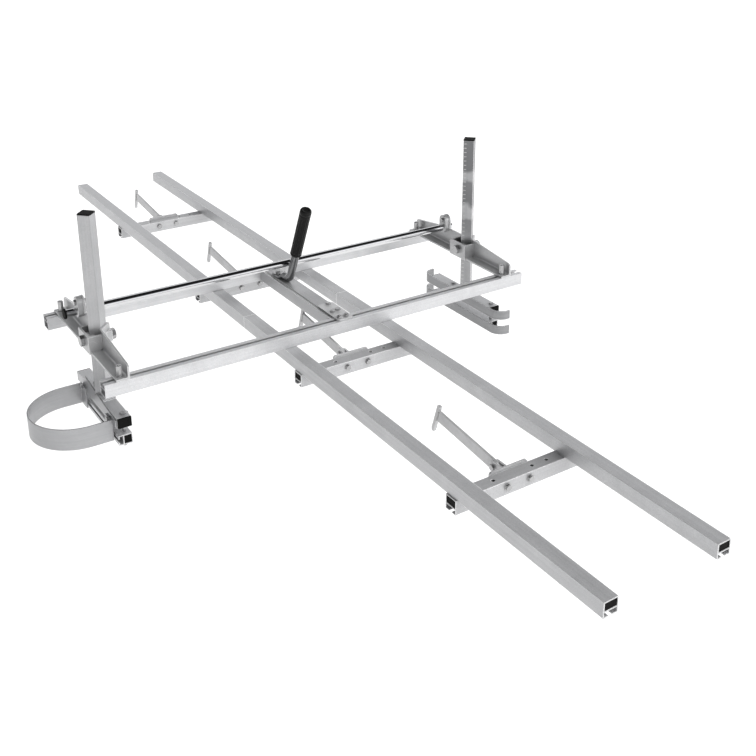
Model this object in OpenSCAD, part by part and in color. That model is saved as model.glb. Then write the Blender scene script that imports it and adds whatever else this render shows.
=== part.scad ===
// Chainsaw mill on a two-rail guide. The guide's four crossbars lie on the log, the mill
// frame slides along the guide's rails, and each end of the frame carries a bracket with a
// height post. A clamp under each post grips the saw's guide bar.
// X runs across the guide, Y along it and Z up. The origin is the middle of the guide, at
// the height of the log's top.

/* [Rails] */
// Width of every aluminium rail
rail_w = 34.5; // [32:0.5:44]
// Height of every aluminium rail
rail_h = 33.5; // [32:0.5:44]
// Wall thickness of the rails
rail_wall = 2; // [1.6:0.1:2.6]
// Depth of the rails' T-slot
slot_depth = 12; // [11:0.5:13]
// Width of the T-slot's mouth
slot_mouth = 9; // [8.6:0.1:11]
// Radius of the rails' outer corners
rail_corner = 0.8; // [0.4:0.1:1.5]

/* [Guide] */
// Length of the guide
guide_len = 2743.2; // [2400:1:3600]
// Distance between the centre lines of the guide's two rails
guide_spacing = 284.5; // [240:0.5:360]
// Gap left where the two halves of a guide rail meet
splice_gap = 0.2; // [0.1:0.1:0.6]
// Length of the flat bar that joins two halves
splice_len = 200; // [180:1:300]
// Thickness of the flat bar that joins two halves
splice_t = 5; // [4:0.1:6]

/* [Crossbars] */
// Length of a crossbar
crossbar_len = 325; // [325:1:420]
// Distance of the inner crossbars from the middle of the guide
crossbar_inner_y = 303; // [260:1:400]
// Distance of the outer crossbars from the middle of the guide
crossbar_outer_y = 940; // [800:1:1100]
// Diameter of the holes for the screws into the log
lag_hole_d = 9; // [7:0.1:10]
// Place across the guide of the left hole for a screw into the log
lag_left_x = -55; // [-70:1:-48]
// Place across the guide of the right hole for a screw into the log
lag_right_x = 48; // [46:1:60]
// Place across the guide of the outermost hole for a screw into the log
lag_outer_x = 88; // [75:1:100]

/* [Dogs] */
// Width of a dog's base plate
dog_plate_w = 100; // [90:1:110]
// Thickness of a dog's base plate
dog_plate_t = 5; // [4:0.1:6]
// Height of the base plate's top edge over the crossbar
dog_plate_rise = 6; // [4:0.5:8]
// Radius of the base plate's corners
dog_plate_r = 6; // [3:0.5:9]
// Distance from the crossbar's centre line to the dog's pivot
dog_reach = 60; // [52:1:80]
// Height of the dog's pivot over the log
dog_pivot_z = 16.5; // [15:0.5:19]
// Thickness of each ear that holds the pivot
dog_ear_t = 5; // [4:0.1:6]
// Height of the dog's arm
dog_bar_h = 27; // [22:0.5:29]
// Thickness of the dog's arm
dog_bar_t = 6; // [5:0.1:8]
// Distance from the dog's pivot to its head
dog_arm_len = 215; // [180:1:260]
// Upward slope of the dog's arm
dog_tilt = 6; // [4:0.5:6.5]
// Length of the dog's head
dog_head_len = 75; // [60:0.5:75]
// Width of the dog's head along the guide
dog_head_w = 9; // [7:0.5:12]
// Thickness of the dog's head across the guide
dog_head_t = 8; // [8:0.1:10]
// Lean of the dog's head
dog_head_lean = 18; // [12:1:22]
// Drop of the middle of the dog's head under the end of its arm
dog_head_drop = 11; // [8:0.5:14]
// Distance of the base plate's bolts from its middle
dog_bolt_x = 30; // [24:0.5:34]

/* [Mill frame] */
// Length of the two mill rails
mill_len = 1219.2; // [1219:0.1:1400]
// Depth of the mill frame over its two rails
mill_depth = 466; // [460:1:520]
// Sideways place of the mill frame's middle on the guide
mill_offset = -6; // [-12:1:0]
// Gap under a rail or bracket that slides
slide_gap = 0.3; // [0.2:0.05:0.5]
// Width of the frame's centre beam
beam_w = 51; // [45:1:60]
// Sideways place of the centre beam
beam_x = 16; // [10:1:22]
// Width of the groove in the beam's top
groove_w = 6; // [4:0.5:8]
// Depth of the groove in the beam's top
groove_depth = 3; // [2:0.5:4]
// Distance of the groove from the beam's left face
groove_inset = 4; // [3:0.5:6]
// Width of the plate that joins the beam to the front rail
plate_w = 46; // [40:1:50]
// Length of the plate that joins the beam to the front rail
plate_len = 112; // [100:1:140]
// Thickness of the plate that joins the beam to the front rail
plate_t = 4; // [3:0.5:6]
// Length of each leg of the cleat at the beam's rear end
cleat_leg = 28; // [26:1:34]

/* [End brackets] */
// Sideways place of the left bracket's upright flange
left_x = -560; // [-570:1:-540]
// Sideways place of the right bracket's upright flange
right_x = 557; // [540:1:565]
// Thickness of the bracket's steel
flange_t = 5; // [4:0.1:6]
// Width of the bracket's base flange
base_w = 28; // [26:0.5:34]
// Height of the upright flange at its ends
flange_end_h = 36; // [30:0.5:42]
// Height of the upright flange beside the post
flange_post_h = 55; // [50:0.5:60]
// Radius of the bend between the two flanges
bend_r = 4; // [2:0.5:5]
// Width of the ear that carries the bar
ear_w = 36; // [34:0.5:42]
// Height of the ear over the base flange
ear_h = 97; // [90:0.5:110]
// Thickness of the collar round the bar
collar_t = 14; // [10:0.5:18]
// Width of the collar round the bar
collar_w = 31; // [29:0.5:33]
// Depth of the post strap, outside the base flange
strap_t = 5; // [4:0.1:6]
// Distance from the post's centre to the outside of the strap's legs
strap_half = 36; // [34:0.5:42]
// Height of the post strap
strap_h = 45; // [42:0.5:50]
// Height of the post screws over the bracket's underside
screw_h = 24; // [22:0.5:27]
// Diameter of the post screws
screw_d = 16; // [14:0.5:16]
// Width across the flats of the post screws' heads
screw_af = 24; // [22:0.5:26]
// Thickness of the post screws' heads
screw_head_h = 10; // [8:0.5:12]
// Length of the long nuts on the rail bolts
long_nut_h = 26; // [20:0.5:30]

/* [Bar and handle] */
// Diameter of the cross bar
bar_d = 19; // [17:0.05:20]
// Length of the cross bar
bar_len = 1176; // [1176:1:1250]
// Reach of the cross bar past the right bracket's upright flange
bar_past = 18; // [16:0.5:24]
// Place of the cross bar behind the frame's middle
bar_y = 75; // [72:1:80]
// Height of the cross bar over the bracket's underside
bar_h = 57; // [54:0.5:62]
// Diameter of the cross bar's end cap
bar_cap_d = 26; // [24:0.5:28]
// Thickness of the cross bar's end cap
bar_cap_t = 5; // [4:0.5:8]
// Diameter of the handle's tube
tube_d = 22; // [20:0.5:24]
// Place of the handle's bolt behind the frame's middle
handle_bolt_y = 138; // [134:1:150]
// Place of the handle's bend behind the frame's middle
handle_bend_y = 67; // [60:1:68]
// Radius of the handle's bend
handle_bend_r = 28; // [24:1:32]
// Lean of the handle towards the front
handle_lean = 24.4; // [22:0.1:30]
// Distance from the handle's bend to the grip
grip_start = 96; // [90:1:110]
// Length of the grip
grip_len = 162; // [130:1:180]
// Diameter of the grip
grip_d = 32; // [30:0.5:36]
// Number of flutes round the grip
grip_flutes = 12; // [8:1:14]
// Thickness of the handle's flattened eye
eye_t = 6; // [5:0.5:8]
// Width of the handle's flattened eye
eye_w = 34; // [30:0.5:38]

/* [Posts] */
// Side of a post's square tube
post_side = 31.75; // [30:0.25:33]
// Wall thickness of the posts
post_wall = 2.5; // [2:0.1:3]
// Length of a post
post_len = 468; // [420:1:560]
// Place of the posts in front of the frame's middle
post_y = -28; // [-34:1:-24]
// Place of a post's centre beside the upright flange
post_dx = 3; // [2:0.5:4]
// Height of the left post's foot over the log
left_foot_z = -31; // [-60:1:-25]
// Height of the right post's foot over the log
right_foot_z = -18; // [-60:1:-10]
// Thickness of the foot plate under a post
foot_t = 5; // [4:0.1:7]
// Length of the foot plate under a post
foot_len = 76; // [74:1:84]
// Thickness of the black caps
cap_t = 3; // [2:0.5:5]

/* [Saw bar clamps] */
// Width of a clamp's upper tube and jaw
clamp_w = 34; // [33:0.5:38]
// Height of a clamp's upper tube and jaw
clamp_h = 26; // [24:0.5:30]
// Length of a clamp's upper tube and jaw
clamp_len = 290; // [285:1:320]
// Place of the front end of the clamps
clamp_front_y = -165; // [-172:1:-163]
// Wall thickness of a clamp's upper tube
clamp_wall = 2.5; // [2:0.1:3]
// Opening between a clamp's upper tube and jaw
jaw_gap = 21; // [18:0.5:30]
// Place of the front clamp bolt from the tube's front end
front_bolt_in = 17; // [15:0.5:22]
// Place of the rear clamp bolt behind the post's centre
rear_bolt_dy = 66; // [62:1:72]
// Reach of the clamp bolts under the jaw's nuts
bolt_past = 5; // [4:0.5:8]

/* [Nose guard] */
// Outer radius of the nose guard's loop
guard_r = 114; // [108:0.5:120]
// Height of the nose guard's band
guard_h = 55; // [50:0.5:60]
// Thickness of the nose guard's band
guard_t = 4; // [3:0.5:5]
// Drop of the band's top edge under the clamp tube's top
guard_drop = 12; // [8:0.5:13]
// Distance from the clamp's face to the centre of the loop
guard_out = 55; // [50:1:65]
// Length of the band's turned-in ends
guard_tab = 40; // [36:1:48]
// Distance of the guard's bolts from the post's centre
guard_bolt_dy = 95; // [92:1:98]
// Rise of the guard plate's rear corner over the clamp tube's top
guard_plate_rise = 19; // [14:0.5:24]
// Thickness of the guard plate
guard_plate_t = 4; // [3:0.5:5]

/* [Bumpers] */
// Thickness of the bumper bars
bumper_t = 4; // [3:0.5:5]
// Outer radius of the bumper bars' curved ends
bumper_r = 35; // [30:1:40]
// Straight run of a bumper bar past the clamp's end
bumper_past = 13; // [9:1:14]
// Straight run after the curve, at a bumper bar's tip
bumper_tip = 8; // [8:1:14]

/* [Fasteners and fits] */
// Diameter of the bolts
bolt_d = 8; // [6:0.5:8]
// Width across the flats of the bolts' heads and nuts
bolt_af = 13; // [12:0.1:13.5]
// Thickness of a bolt's head
head_h = 5.3; // [4.5:0.1:6]
// Thickness of a nut
nut_h = 6.5; // [5:0.1:7]
// Diameter of a washer
washer_d = 18; // [16:0.5:20]
// Thickness of a washer
washer_t = 1.6; // [1.2:0.1:2]
// Clearance of a bolt in its hole
hole_clear = 0.5; // [0.3:0.05:0.6]
// Radial clearance of a running fit
run_clear = 0.05; // [0.02:0.01:0.08]
// Gap between a sliding post and its seat
seat_gap = 0.3; // [0.2:0.05:0.4]

/* [Hidden] */
$fn = 48;

bolt_r = bolt_d / 2;
hole_r = bolt_r + hole_clear;
nut_bore_r = bolt_r + run_clear;
hex_point = 1 / cos(30);

// Heights of the stacked rails
guide_z = rail_h;
guide_top = guide_z + rail_h;
mill_z = guide_top + slide_gap;
mill_top = mill_z + rail_h;
bracket_z = mill_top + slide_gap;
web_top = slot_depth + rail_wall;

// Places along the guide
crossbars_y = [-crossbar_outer_y, -crossbar_inner_y, crossbar_inner_y, crossbar_outer_y];
guide_x = guide_spacing / 2;
splice_screws_y = [-splice_len * 0.375, -splice_len * 0.125, splice_len * 0.125,
    splice_len * 0.375];
lag_holes_x = [lag_left_x, lag_right_x, lag_outer_x];

// Dogs
dog_bolt_z = web_top + hole_r + 0.2;
dog_face_y = rail_w / 2 + dog_plate_t;
dog_ear_gap = seat_gap;
dog_ear_r = 13;
dog_plate_low = 2;
pivot_len = dog_bar_t + 2 * (dog_ear_gap + dog_ear_t);

// Mill frame
rail_line = (mill_depth - rail_w) / 2;
inner_face = mill_depth / 2 - rail_w;
beam_left = beam_x - beam_w / 2;
beam_top = mill_z + rail_h;
plate_inset = 5;
plate_x = beam_x + (beam_w - plate_w) / 2 + 3;
plate_front_y = -mill_depth / 2 + plate_inset;
plate_bolt_in = 10;
plate_rear_bolt_y = plate_front_y + plate_len - plate_bolt_in;
plate_mid_bolt_y = -inner_face + 24;
plate_beam_spots = [[plate_x - plate_w / 2 + plate_bolt_in + 4, plate_mid_bolt_y],
    [plate_x + plate_w / 2 - plate_bolt_in - 5, plate_mid_bolt_y + 3],
    [plate_x + plate_w / 2 - plate_bolt_in - 7, plate_rear_bolt_y]];
plate_rail_spots = [[plate_x - plate_w / 2 + plate_bolt_in, -rail_line],
    [plate_x + plate_w / 2 - plate_bolt_in - 6, -rail_line]];
cleat_t = 4;
cleat_y = inner_face;
cleat_bolt_z = mill_z + rail_h / 2;

// Brackets
flange_half = mill_depth / 2;
base_bolt_x = -base_w / 2;
half_diagonal = post_side * sqrt(2) / 2;
seat_in = post_dx + half_diagonal + seat_gap * sqrt(2);
seat_out = seat_in + flange_t * sqrt(2);
seat_side = seat_out - flange_t;
seat_boss_x = seat_out + 1;
seat_boss_w = 26;
flange_corner = 6;
ear_bolt_h = ear_h - collar_w / 2 - 1;
pad_back = 2;
pad_half = 12;
pad_reach = 11;
pad_h = 26;
strap_x = -base_w - strap_t;

// Posts and clamps
post_x = [left_x + post_dx, right_x + post_dx];
clamp_rear_y = clamp_front_y + clamp_len;
clamp_bolts_y = [clamp_front_y + front_bolt_in, post_y + rear_bolt_dy];
clamp_bolt_dx = 3;
jaw_slot_depth = 11;
jaw_slot_mouth = 8;
jaw_wall = 2;
jaw_drop = clamp_h + jaw_gap;
foot_bolt_dy = foot_len / 2 - 8;
foot_w = clamp_w;
guard_centre_x = -clamp_w / 2 - guard_out;
guard_face_x = -clamp_w / 2 - guard_plate_t;
guard_bolt_z = -clamp_h / 2 - 3;
plug_len = 12;
plug_fit = 0.2;

// Handle
handle_z = beam_top + tube_d / 2;
handle_x = beam_x;
bend_trim = handle_bend_r * tan((90 - handle_lean) / 2);
grip_bore = 40;

module along_y(from, to) {
    translate([0, to, 0]) rotate([90, 0, 0]) linear_extrude(to - from) children();
}

module along_x(from, to) {
    translate([from, 0, 0]) rotate([90, 0, 90]) linear_extrude(to - from) children();
}

module rounded_rect(width, height, radius) {
    // A rectangle centred on X and standing on Y = 0
    translate([-width / 2 + radius, 0]) square([width - 2 * radius, height]);
    translate([-width / 2, radius]) square([width, height - 2 * radius]);
    for (x = [-1, 1], y = [radius, height - radius])
        translate([x * (width / 2 - radius), y]) circle(radius, $fn = 24);
}

module slot_profile(width, height, depth, mouth, wall) {
    // Closed chamber below, T-slot above
    difference() {
        rounded_rect(width, height, rail_corner);
        translate([-width / 2 + wall, wall])
            square([width - 2 * wall, height - depth - 2 * wall]);
        translate([-width / 2 + wall, height - depth])
            square([width - 2 * wall, depth - wall]);
        translate([-mouth / 2, height - depth]) square([mouth, depth + 1]);
    }
}

module rail_profile() {
    slot_profile(rail_w, rail_h, slot_depth, slot_mouth, rail_wall);
}

module rail_profile_down() {
    translate([0, rail_h]) mirror([0, 1]) rail_profile();
}

module hex_head(across, height) {
    cylinder(h = height, r = across / 2 * hex_point, $fn = 6);
}

module hex_nut(across, height, bore_r) {
    difference() {
        hex_head(across, height);
        translate([0, 0, -1]) cylinder(h = height + 2, r = bore_r);
    }
}

module washer() {
    difference() {
        cylinder(h = washer_t, d = washer_d);
        translate([0, 0, -1]) cylinder(h = washer_t + 2, r = nut_bore_r);
    }
}

module hex_bolt(grip) {
    // Head above Z = 0, shank below
    hex_head(bolt_af, head_h);
    translate([0, 0, -grip]) cylinder(h = grip + head_h / 2, r = bolt_r);
}

// Guide rails, each in two halves
module guide_rail(side, end) {
    start = end < 0 ? -guide_len / 2 : splice_gap / 2;
    stop = end < 0 ? -splice_gap / 2 : guide_len / 2;
    color("silver") translate([side * guide_x, 0, guide_z])
        along_y(start, stop) rail_profile_down();
}

// Flat bars in the T-slots that join the rail halves
module splice_bars() {
    width = rail_w - 2 * rail_wall - 1;
    color("dimgray") for (side = [-1, 1])
        translate([side * guide_x, 0, guide_z + rail_wall])
            difference() {
                translate([-width / 2, -splice_len / 2, 0]) cube([width, splice_len, splice_t]);
                for (y = splice_screws_y)
                    translate([0, y, -1]) cylinder(h = splice_t + 2, r = nut_bore_r);
            }
}

module splice_screws() {
    color("gainsboro") for (side = [-1, 1], y = splice_screws_y)
        translate([side * guide_x, y, guide_z]) mirror([0, 0, 1])
            hex_bolt(slot_depth - slide_gap);
}

// Crossbar under the guide rails, with holes for the rail bolts, the dog's bolts and the
// screws into the log
module crossbar(number) {
    color("silver") translate([0, crossbars_y[number], 0]) difference() {
        along_x(-crossbar_len / 2, crossbar_len / 2) rail_profile_down();
        for (x = [-guide_x, guide_x])
            translate([x, 0, slot_depth - 1]) cylinder(h = rail_h, r = hole_r);
        for (x = lag_holes_x)
            translate([x, 0, slot_depth - 1]) cylinder(h = rail_h, d = lag_hole_d);
        for (x = [-dog_bolt_x, dog_bolt_x])
            translate([x, -rail_w, dog_bolt_z]) rotate([-90, 0, 0])
                cylinder(h = 2 * rail_w, r = hole_r);
    }
}

// Bolts that hold the guide rails down on the crossbars: the head lies in the rail's slot
// and the nut in the crossbar's
module crossbar_bolts() {
    color("gainsboro") for (y = crossbars_y, x = [-guide_x, guide_x]) translate([x, y, 0]) {
        translate([0, 0, guide_z + rail_wall]) hex_bolt(guide_z + rail_wall - 4);
        translate([0, 0, slot_depth - nut_h]) hex_nut(bolt_af, nut_h, nut_bore_r);
    }
}

// Base plate of a dog, with the two ears that hold its pivot
module dog_base(number) {
    top = rail_h + dog_plate_rise;
    ear_low = dog_pivot_z - dog_ear_r;
    color("darkgray") translate([0, crossbars_y[number], 0]) difference() {
        union() {
            along_y(rail_w / 2, dog_face_y) translate([0, dog_plate_low])
                rounded_rect(dog_plate_w, top - dog_plate_low, dog_plate_r);
            for (side = [-1, 1])
                translate([side * (dog_bar_t / 2 + dog_ear_gap + dog_ear_t / 2), 0, 0])
                    along_x(-dog_ear_t / 2, dog_ear_t / 2) {
                        translate([dog_face_y - 1, ear_low])
                            square([dog_reach - dog_face_y + 1, 2 * dog_ear_r]);
                        translate([dog_reach, dog_pivot_z]) circle(dog_ear_r);
                    }
        }
        for (x = [-dog_bolt_x, dog_bolt_x])
            translate([x, 0, dog_bolt_z]) rotate([-90, 0, 0])
                cylinder(h = rail_w, r = hole_r);
        translate([-pivot_len, dog_reach, dog_pivot_z]) rotate([0, 90, 0])
            cylinder(h = 2 * pivot_len, r = bolt_r + run_clear);
    }
}

module dog_base_bolts() {
    grip = rail_w + dog_plate_t + nut_h + washer_t + 2;
    color("gainsboro") for (y = crossbars_y, x = [-dog_bolt_x, dog_bolt_x])
        translate([x, y, dog_bolt_z]) {
            translate([0, -rail_w / 2, 0]) rotate([90, 0, 0]) washer();
            translate([0, -rail_w / 2 - washer_t, 0]) rotate([90, 0, 0]) hex_bolt(grip);
            translate([0, dog_face_y, 0]) rotate([-90, 0, 0])
                hex_nut(bolt_af, nut_h, nut_bore_r);
        }
}

module dog_pivots() {
    half = pivot_len / 2;
    color("gainsboro") for (y = crossbars_y) translate([0, y + dog_reach, dog_pivot_z]) {
        translate([-half, 0, 0]) rotate([0, -90, 0]) hex_bolt(pivot_len + nut_h + 2);
        translate([half, 0, 0]) rotate([0, 90, 0]) hex_nut(bolt_af, nut_h, nut_bore_r);
    }
}

// Dog: a flat arm on the pivot with a leaning head welded across its end
module dog_arm(number) {
    bar_r = dog_bar_h / 2;
    color("darkgray") translate([0, crossbars_y[number] + dog_reach, dog_pivot_z])
        rotate([dog_tilt, 0, 0]) difference() {
            union() {
                along_x(-dog_bar_t / 2, dog_bar_t / 2) {
                    circle(bar_r);
                    translate([0, -bar_r]) square([dog_arm_len, dog_bar_h]);
                }
                translate([0, dog_arm_len, 0]) rotate([dog_head_lean - dog_tilt, 0, 0])
                    along_x(-dog_head_t / 2, dog_head_t / 2)
                        translate([-dog_head_w / 2, -dog_head_len / 2 - dog_head_drop])
                            dog_head_outline();
            }
            translate([-dog_head_t, 0, 0]) rotate([0, 90, 0])
                cylinder(h = 2 * dog_head_t, r = bolt_r + run_clear);
        }
}

module dog_head_outline() {
    // A bar with a bevelled biting end at the bottom
    bevel = dog_head_w * 0.7;
    polygon([[bevel, 0], [dog_head_w, bevel], [dog_head_w, dog_head_len],
        [0, dog_head_len], [0, 0]]);
}

// Mill rails, with the T-slot on top
module mill_rail(side) {
    middle = mill_offset;
    color("silver") translate([0, side * rail_line, mill_z]) difference() {
        along_x(middle - mill_len / 2, middle + mill_len / 2) rail_profile();
        if (side > 0)
            translate([beam_left + beam_w + cleat_leg / 2 + cleat_t, -rail_w, rail_h * 0.3])
                rotate([-90, 0, 0]) cylinder(h = 2 * rail_w, r = hole_r);
    }
}

module beam_profile() {
    floor_x = beam_left + groove_inset;
    difference() {
        translate([beam_x, 0]) rounded_rect(beam_w, rail_h, rail_corner);
        difference() {
            translate([beam_left + rail_wall, rail_wall])
                square([beam_w - 2 * rail_wall, rail_h - 2 * rail_wall]);
            translate([floor_x - rail_wall, rail_h - groove_depth - rail_wall])
                square([groove_w + 2 * rail_wall, rail_h]);
        }
        translate([floor_x, rail_h - groove_depth]) square([groove_w, rail_h]);
    }
}

// Beam between the two mill rails
module centre_beam() {
    color("silver") difference() {
        translate([0, 0, mill_z]) along_y(-inner_face, inner_face) beam_profile();
        for (spot = plate_beam_spots)
            translate([spot[0], spot[1], beam_top - 2 * rail_wall])
                cylinder(h = 3 * rail_wall, r = hole_r);
        translate([handle_x, handle_bolt_y, beam_top - 2 * rail_wall])
            cylinder(h = 3 * rail_wall, r = hole_r);
        translate([beam_x, cleat_y - cleat_leg / 2, cleat_bolt_z]) rotate([0, 90, 0])
            cylinder(h = beam_w, r = hole_r);
    }
}

// Plate that joins the beam to the front rail
module beam_plate() {
    color("gainsboro") difference() {
        translate([0, 0, beam_top]) linear_extrude(plate_t)
            translate([plate_x, plate_front_y]) rounded_rect(plate_w, plate_len, 9);
        for (spot = concat(plate_beam_spots, plate_rail_spots))
            translate([spot[0], spot[1], beam_top - 1]) cylinder(h = plate_t + 2, r = hole_r);
    }
}

// Cleat in the corner between the beam's rear end and the rear rail
module beam_cleat() {
    side = beam_left + beam_w;
    height = rail_h - 2 * rail_wall;
    color("gainsboro") translate([side, cleat_y, mill_z + rail_wall]) difference() {
        linear_extrude(height) polygon([[0, 0], [0, -cleat_leg], [cleat_t, -cleat_leg],
            [cleat_t, -cleat_t], [cleat_leg + cleat_t, -cleat_t], [cleat_leg + cleat_t, 0]]);
        translate([-1, -cleat_leg / 2, cleat_bolt_z - mill_z - rail_wall])
            rotate([0, 90, 0]) cylinder(h = cleat_t + 2, r = hole_r);
        translate([cleat_leg / 2 + cleat_t, 1, rail_h * 0.3 - rail_wall]) rotate([90, 0, 0])
            cylinder(h = cleat_t + 2, r = hole_r);
    }
}

module carriage_bolts() {
    side = beam_left + beam_w;
    low = beam_top - rail_wall - slide_gap;
    color("gainsboro") {
        for (spot = plate_beam_spots) translate([spot[0], spot[1], 0]) {
            translate([0, 0, beam_top + plate_t]) hex_bolt(plate_t + rail_wall + nut_h + 1);
            translate([0, 0, beam_top - rail_wall - nut_h])
                hex_nut(bolt_af, nut_h, nut_bore_r);
        }
        for (spot = plate_rail_spots) translate([spot[0], spot[1], 0]) {
            translate([0, 0, low]) mirror([0, 0, 1])
                hex_bolt(rail_wall + slide_gap + plate_t + nut_h + 2);
            translate([0, 0, beam_top + plate_t]) hex_nut(bolt_af, nut_h, nut_bore_r);
        }
        translate([handle_x, handle_bolt_y, beam_top + eye_t]) difference() {
            cylinder(h = washer_t, d = eye_w - 6);
            translate([0, 0, -1]) cylinder(h = washer_t + 2, r = nut_bore_r);
        }
        translate([handle_x, handle_bolt_y, beam_top + eye_t + washer_t])
            hex_bolt(eye_t + washer_t + rail_wall + nut_h + 1);
        translate([handle_x, handle_bolt_y, beam_top - rail_wall - nut_h])
            hex_nut(bolt_af, nut_h, nut_bore_r);
        translate([side + cleat_t, cleat_y - cleat_leg / 2, cleat_bolt_z])
            rotate([0, 90, 0]) hex_bolt(cleat_t + rail_wall + nut_h + 1);
        translate([side - rail_wall - nut_h, cleat_y - cleat_leg / 2, cleat_bolt_z])
            rotate([0, 90, 0]) hex_nut(bolt_af, nut_h, nut_bore_r);
        translate([side + cleat_leg / 2 + cleat_t, cleat_y - cleat_t, mill_z + rail_h * 0.3])
            rotate([90, 0, 0]) hex_bolt(cleat_t + rail_w + nut_h + 2);
        translate([side + cleat_leg / 2 + cleat_t, mill_depth / 2, mill_z + rail_h * 0.3])
            rotate([-90, 0, 0]) hex_nut(bolt_af, nut_h, nut_bore_r);
    }
}

// Push handle: a flattened eye bolted on the beam, a bend, and a leaning upright
module handle_tube() {
    tube_r = tube_d / 2;
    neck_y = handle_bolt_y - eye_w / 2 - 8;
    neck_len = 16;
    lap = 0.5;
    bend_swell = 0.1;
    color("gray") translate([handle_x, 0, 0]) {
        difference() {
            union() {
                translate([0, handle_bolt_y, beam_top]) cylinder(h = eye_t, d = eye_w);
                translate([-eye_w / 2, neck_y, beam_top])
                    cube([eye_w, handle_bolt_y - neck_y, eye_t]);
                hull() {
                    translate([-eye_w / 2, neck_y, beam_top]) cube([eye_w, 1, eye_t]);
                    translate([0, neck_y - neck_len, handle_z]) rotate([90, 0, 0])
                        cylinder(h = 1, r = tube_r - 0.4, $fn = 32);
                }
            }
            translate([0, handle_bolt_y, beam_top - 1]) cylinder(h = eye_t + 2, r = hole_r);
        }
        translate([0, handle_bend_y + bend_trim - lap, handle_z]) rotate([-90, 0, 0])
            cylinder(h = neck_y - neck_len + 6 - handle_bend_y - bend_trim + lap, r = tube_r);
        translate([0, handle_bend_y + bend_trim, handle_z + handle_bend_r])
            rotate([0, -90, 0]) rotate([0, 0, 180])
                rotate_extrude(angle = 90 - handle_lean)
                    translate([handle_bend_r, 0]) circle(tube_r + bend_swell);
        translate([0, handle_bend_y, handle_z]) rotate([handle_lean, 0, 0])
            translate([0, 0, bend_trim - lap])
                cylinder(h = grip_start + grip_bore - bend_trim + lap, r = tube_r);
    }
}

// Fluted grip with a domed end
module handle_grip() {
    grip_r = grip_d / 2;
    flute_r = 2.4;
    dome = 9;
    color("black") translate([handle_x, handle_bend_y, handle_z])
        rotate([handle_lean, 0, 0]) translate([0, 0, grip_start]) difference() {
            rotate_extrude() {
                square([grip_r - 2, grip_len - dome]);
                translate([0, 2]) square([grip_r, grip_len - dome - 2]);
                translate([grip_r - 2, 2]) circle(2);
                translate([0, grip_len - dome]) square([grip_r - dome, dome]);
                intersection() {
                    translate([grip_r - dome, grip_len - dome]) circle(dome);
                    translate([0, grip_len - dome]) square([grip_r, dome]);
                }
            }
            translate([0, 0, -1])
                cylinder(h = grip_bore + 1 + run_clear, r = tube_d / 2 + run_clear);
            for (turn = [0:grip_flutes - 1]) rotate([0, 0, turn * 360 / grip_flutes])
                translate([grip_r + 0.6, 0, 14]) cylinder(h = grip_len - 34, r = flute_r);
        }
}

// Plan outline of a post, grown by a gap
module post_plan(gap) {
    reach = half_diagonal + gap * sqrt(2);
    translate([post_dx, post_y]) polygon([[-reach, 0], [0, -reach], [reach, 0], [0, reach]]);
}

// Side outline of the upright flange, with the ear for the cross bar
module flange_outline() {
    post_front = post_y - seat_side;
    polygon([[-flange_half, 0], [-flange_half, flange_end_h - flange_corner],
        [-flange_half + flange_corner, flange_end_h], [post_front, flange_post_h],
        [bar_y + ear_w / 2, flange_post_h], [flange_half - flange_corner, flange_end_h],
        [flange_half, flange_end_h - flange_corner], [flange_half, 0]]);
    translate([bar_y - ear_w / 2, 0]) square([ear_w, ear_h - ear_w / 2]);
    translate([bar_y, ear_h - ear_w / 2]) circle(ear_w / 2);
}

module bend_fillet() {
    difference() {
        translate([-bend_r, flange_t]) square([bend_r + 1, bend_r + 1]);
        translate([-bend_r, flange_t + bend_r]) circle(bend_r);
        translate([-2 * bend_r, flange_t + bend_r]) square([3 * bend_r + 1, bend_r + 1]);
    }
}

// End bracket: a steel angle across both mill rails. Its upright flange has a V-shaped seat
// for the post and an ear for the cross bar.
module bracket(flange_x) {
    color("dimgray") translate([flange_x, 0, bracket_z]) difference() {
        union() {
            difference() {
                union() {
                    translate([-base_w, -flange_half, 0])
                        cube([base_w + 1, 2 * flange_half, flange_t]);
                    along_x(0, flange_t) flange_outline();
                    along_y(-flange_half, flange_half) bend_fillet();
                }
                translate([0, 0, -1]) linear_extrude(ear_h) post_plan(1);
                translate([-bend_r - 0.1, post_y - seat_side, -1])
                    cube([bend_r + flange_t + 1, 2 * seat_side, ear_h]);
            }
            translate([0, post_y, 0]) linear_extrude(flange_post_h)
                polygon([[0, -seat_in], [seat_in, 0], [0, seat_in], [0, seat_side],
                    [flange_t, seat_side], [seat_out, 0], [flange_t, -seat_side],
                    [0, -seat_side]]);
            translate([0, post_y - seat_boss_w / 2, screw_h - seat_boss_w / 2])
                cube([seat_boss_x, seat_boss_w, seat_boss_w]);
        }
        translate([0, 0, -1]) linear_extrude(ear_h) post_plan(seat_gap);
        for (side = [-1, 1])
            translate([base_bolt_x, side * rail_line, -1])
                cylinder(h = flange_t + 2, r = hole_r);
        translate([-1, bar_y, bar_h]) rotate([0, 90, 0])
            cylinder(h = flange_t + 2, r = bar_d / 2 + hole_clear);
        translate([-1, bar_y, ear_bolt_h]) rotate([0, 90, 0])
            cylinder(h = flange_t + 2, r = hole_r);
        translate([half_diagonal, post_y, screw_h]) rotate([0, 90, 0])
            cylinder(h = seat_boss_x, r = screw_d / 2 + run_clear);
    }
}

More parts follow.
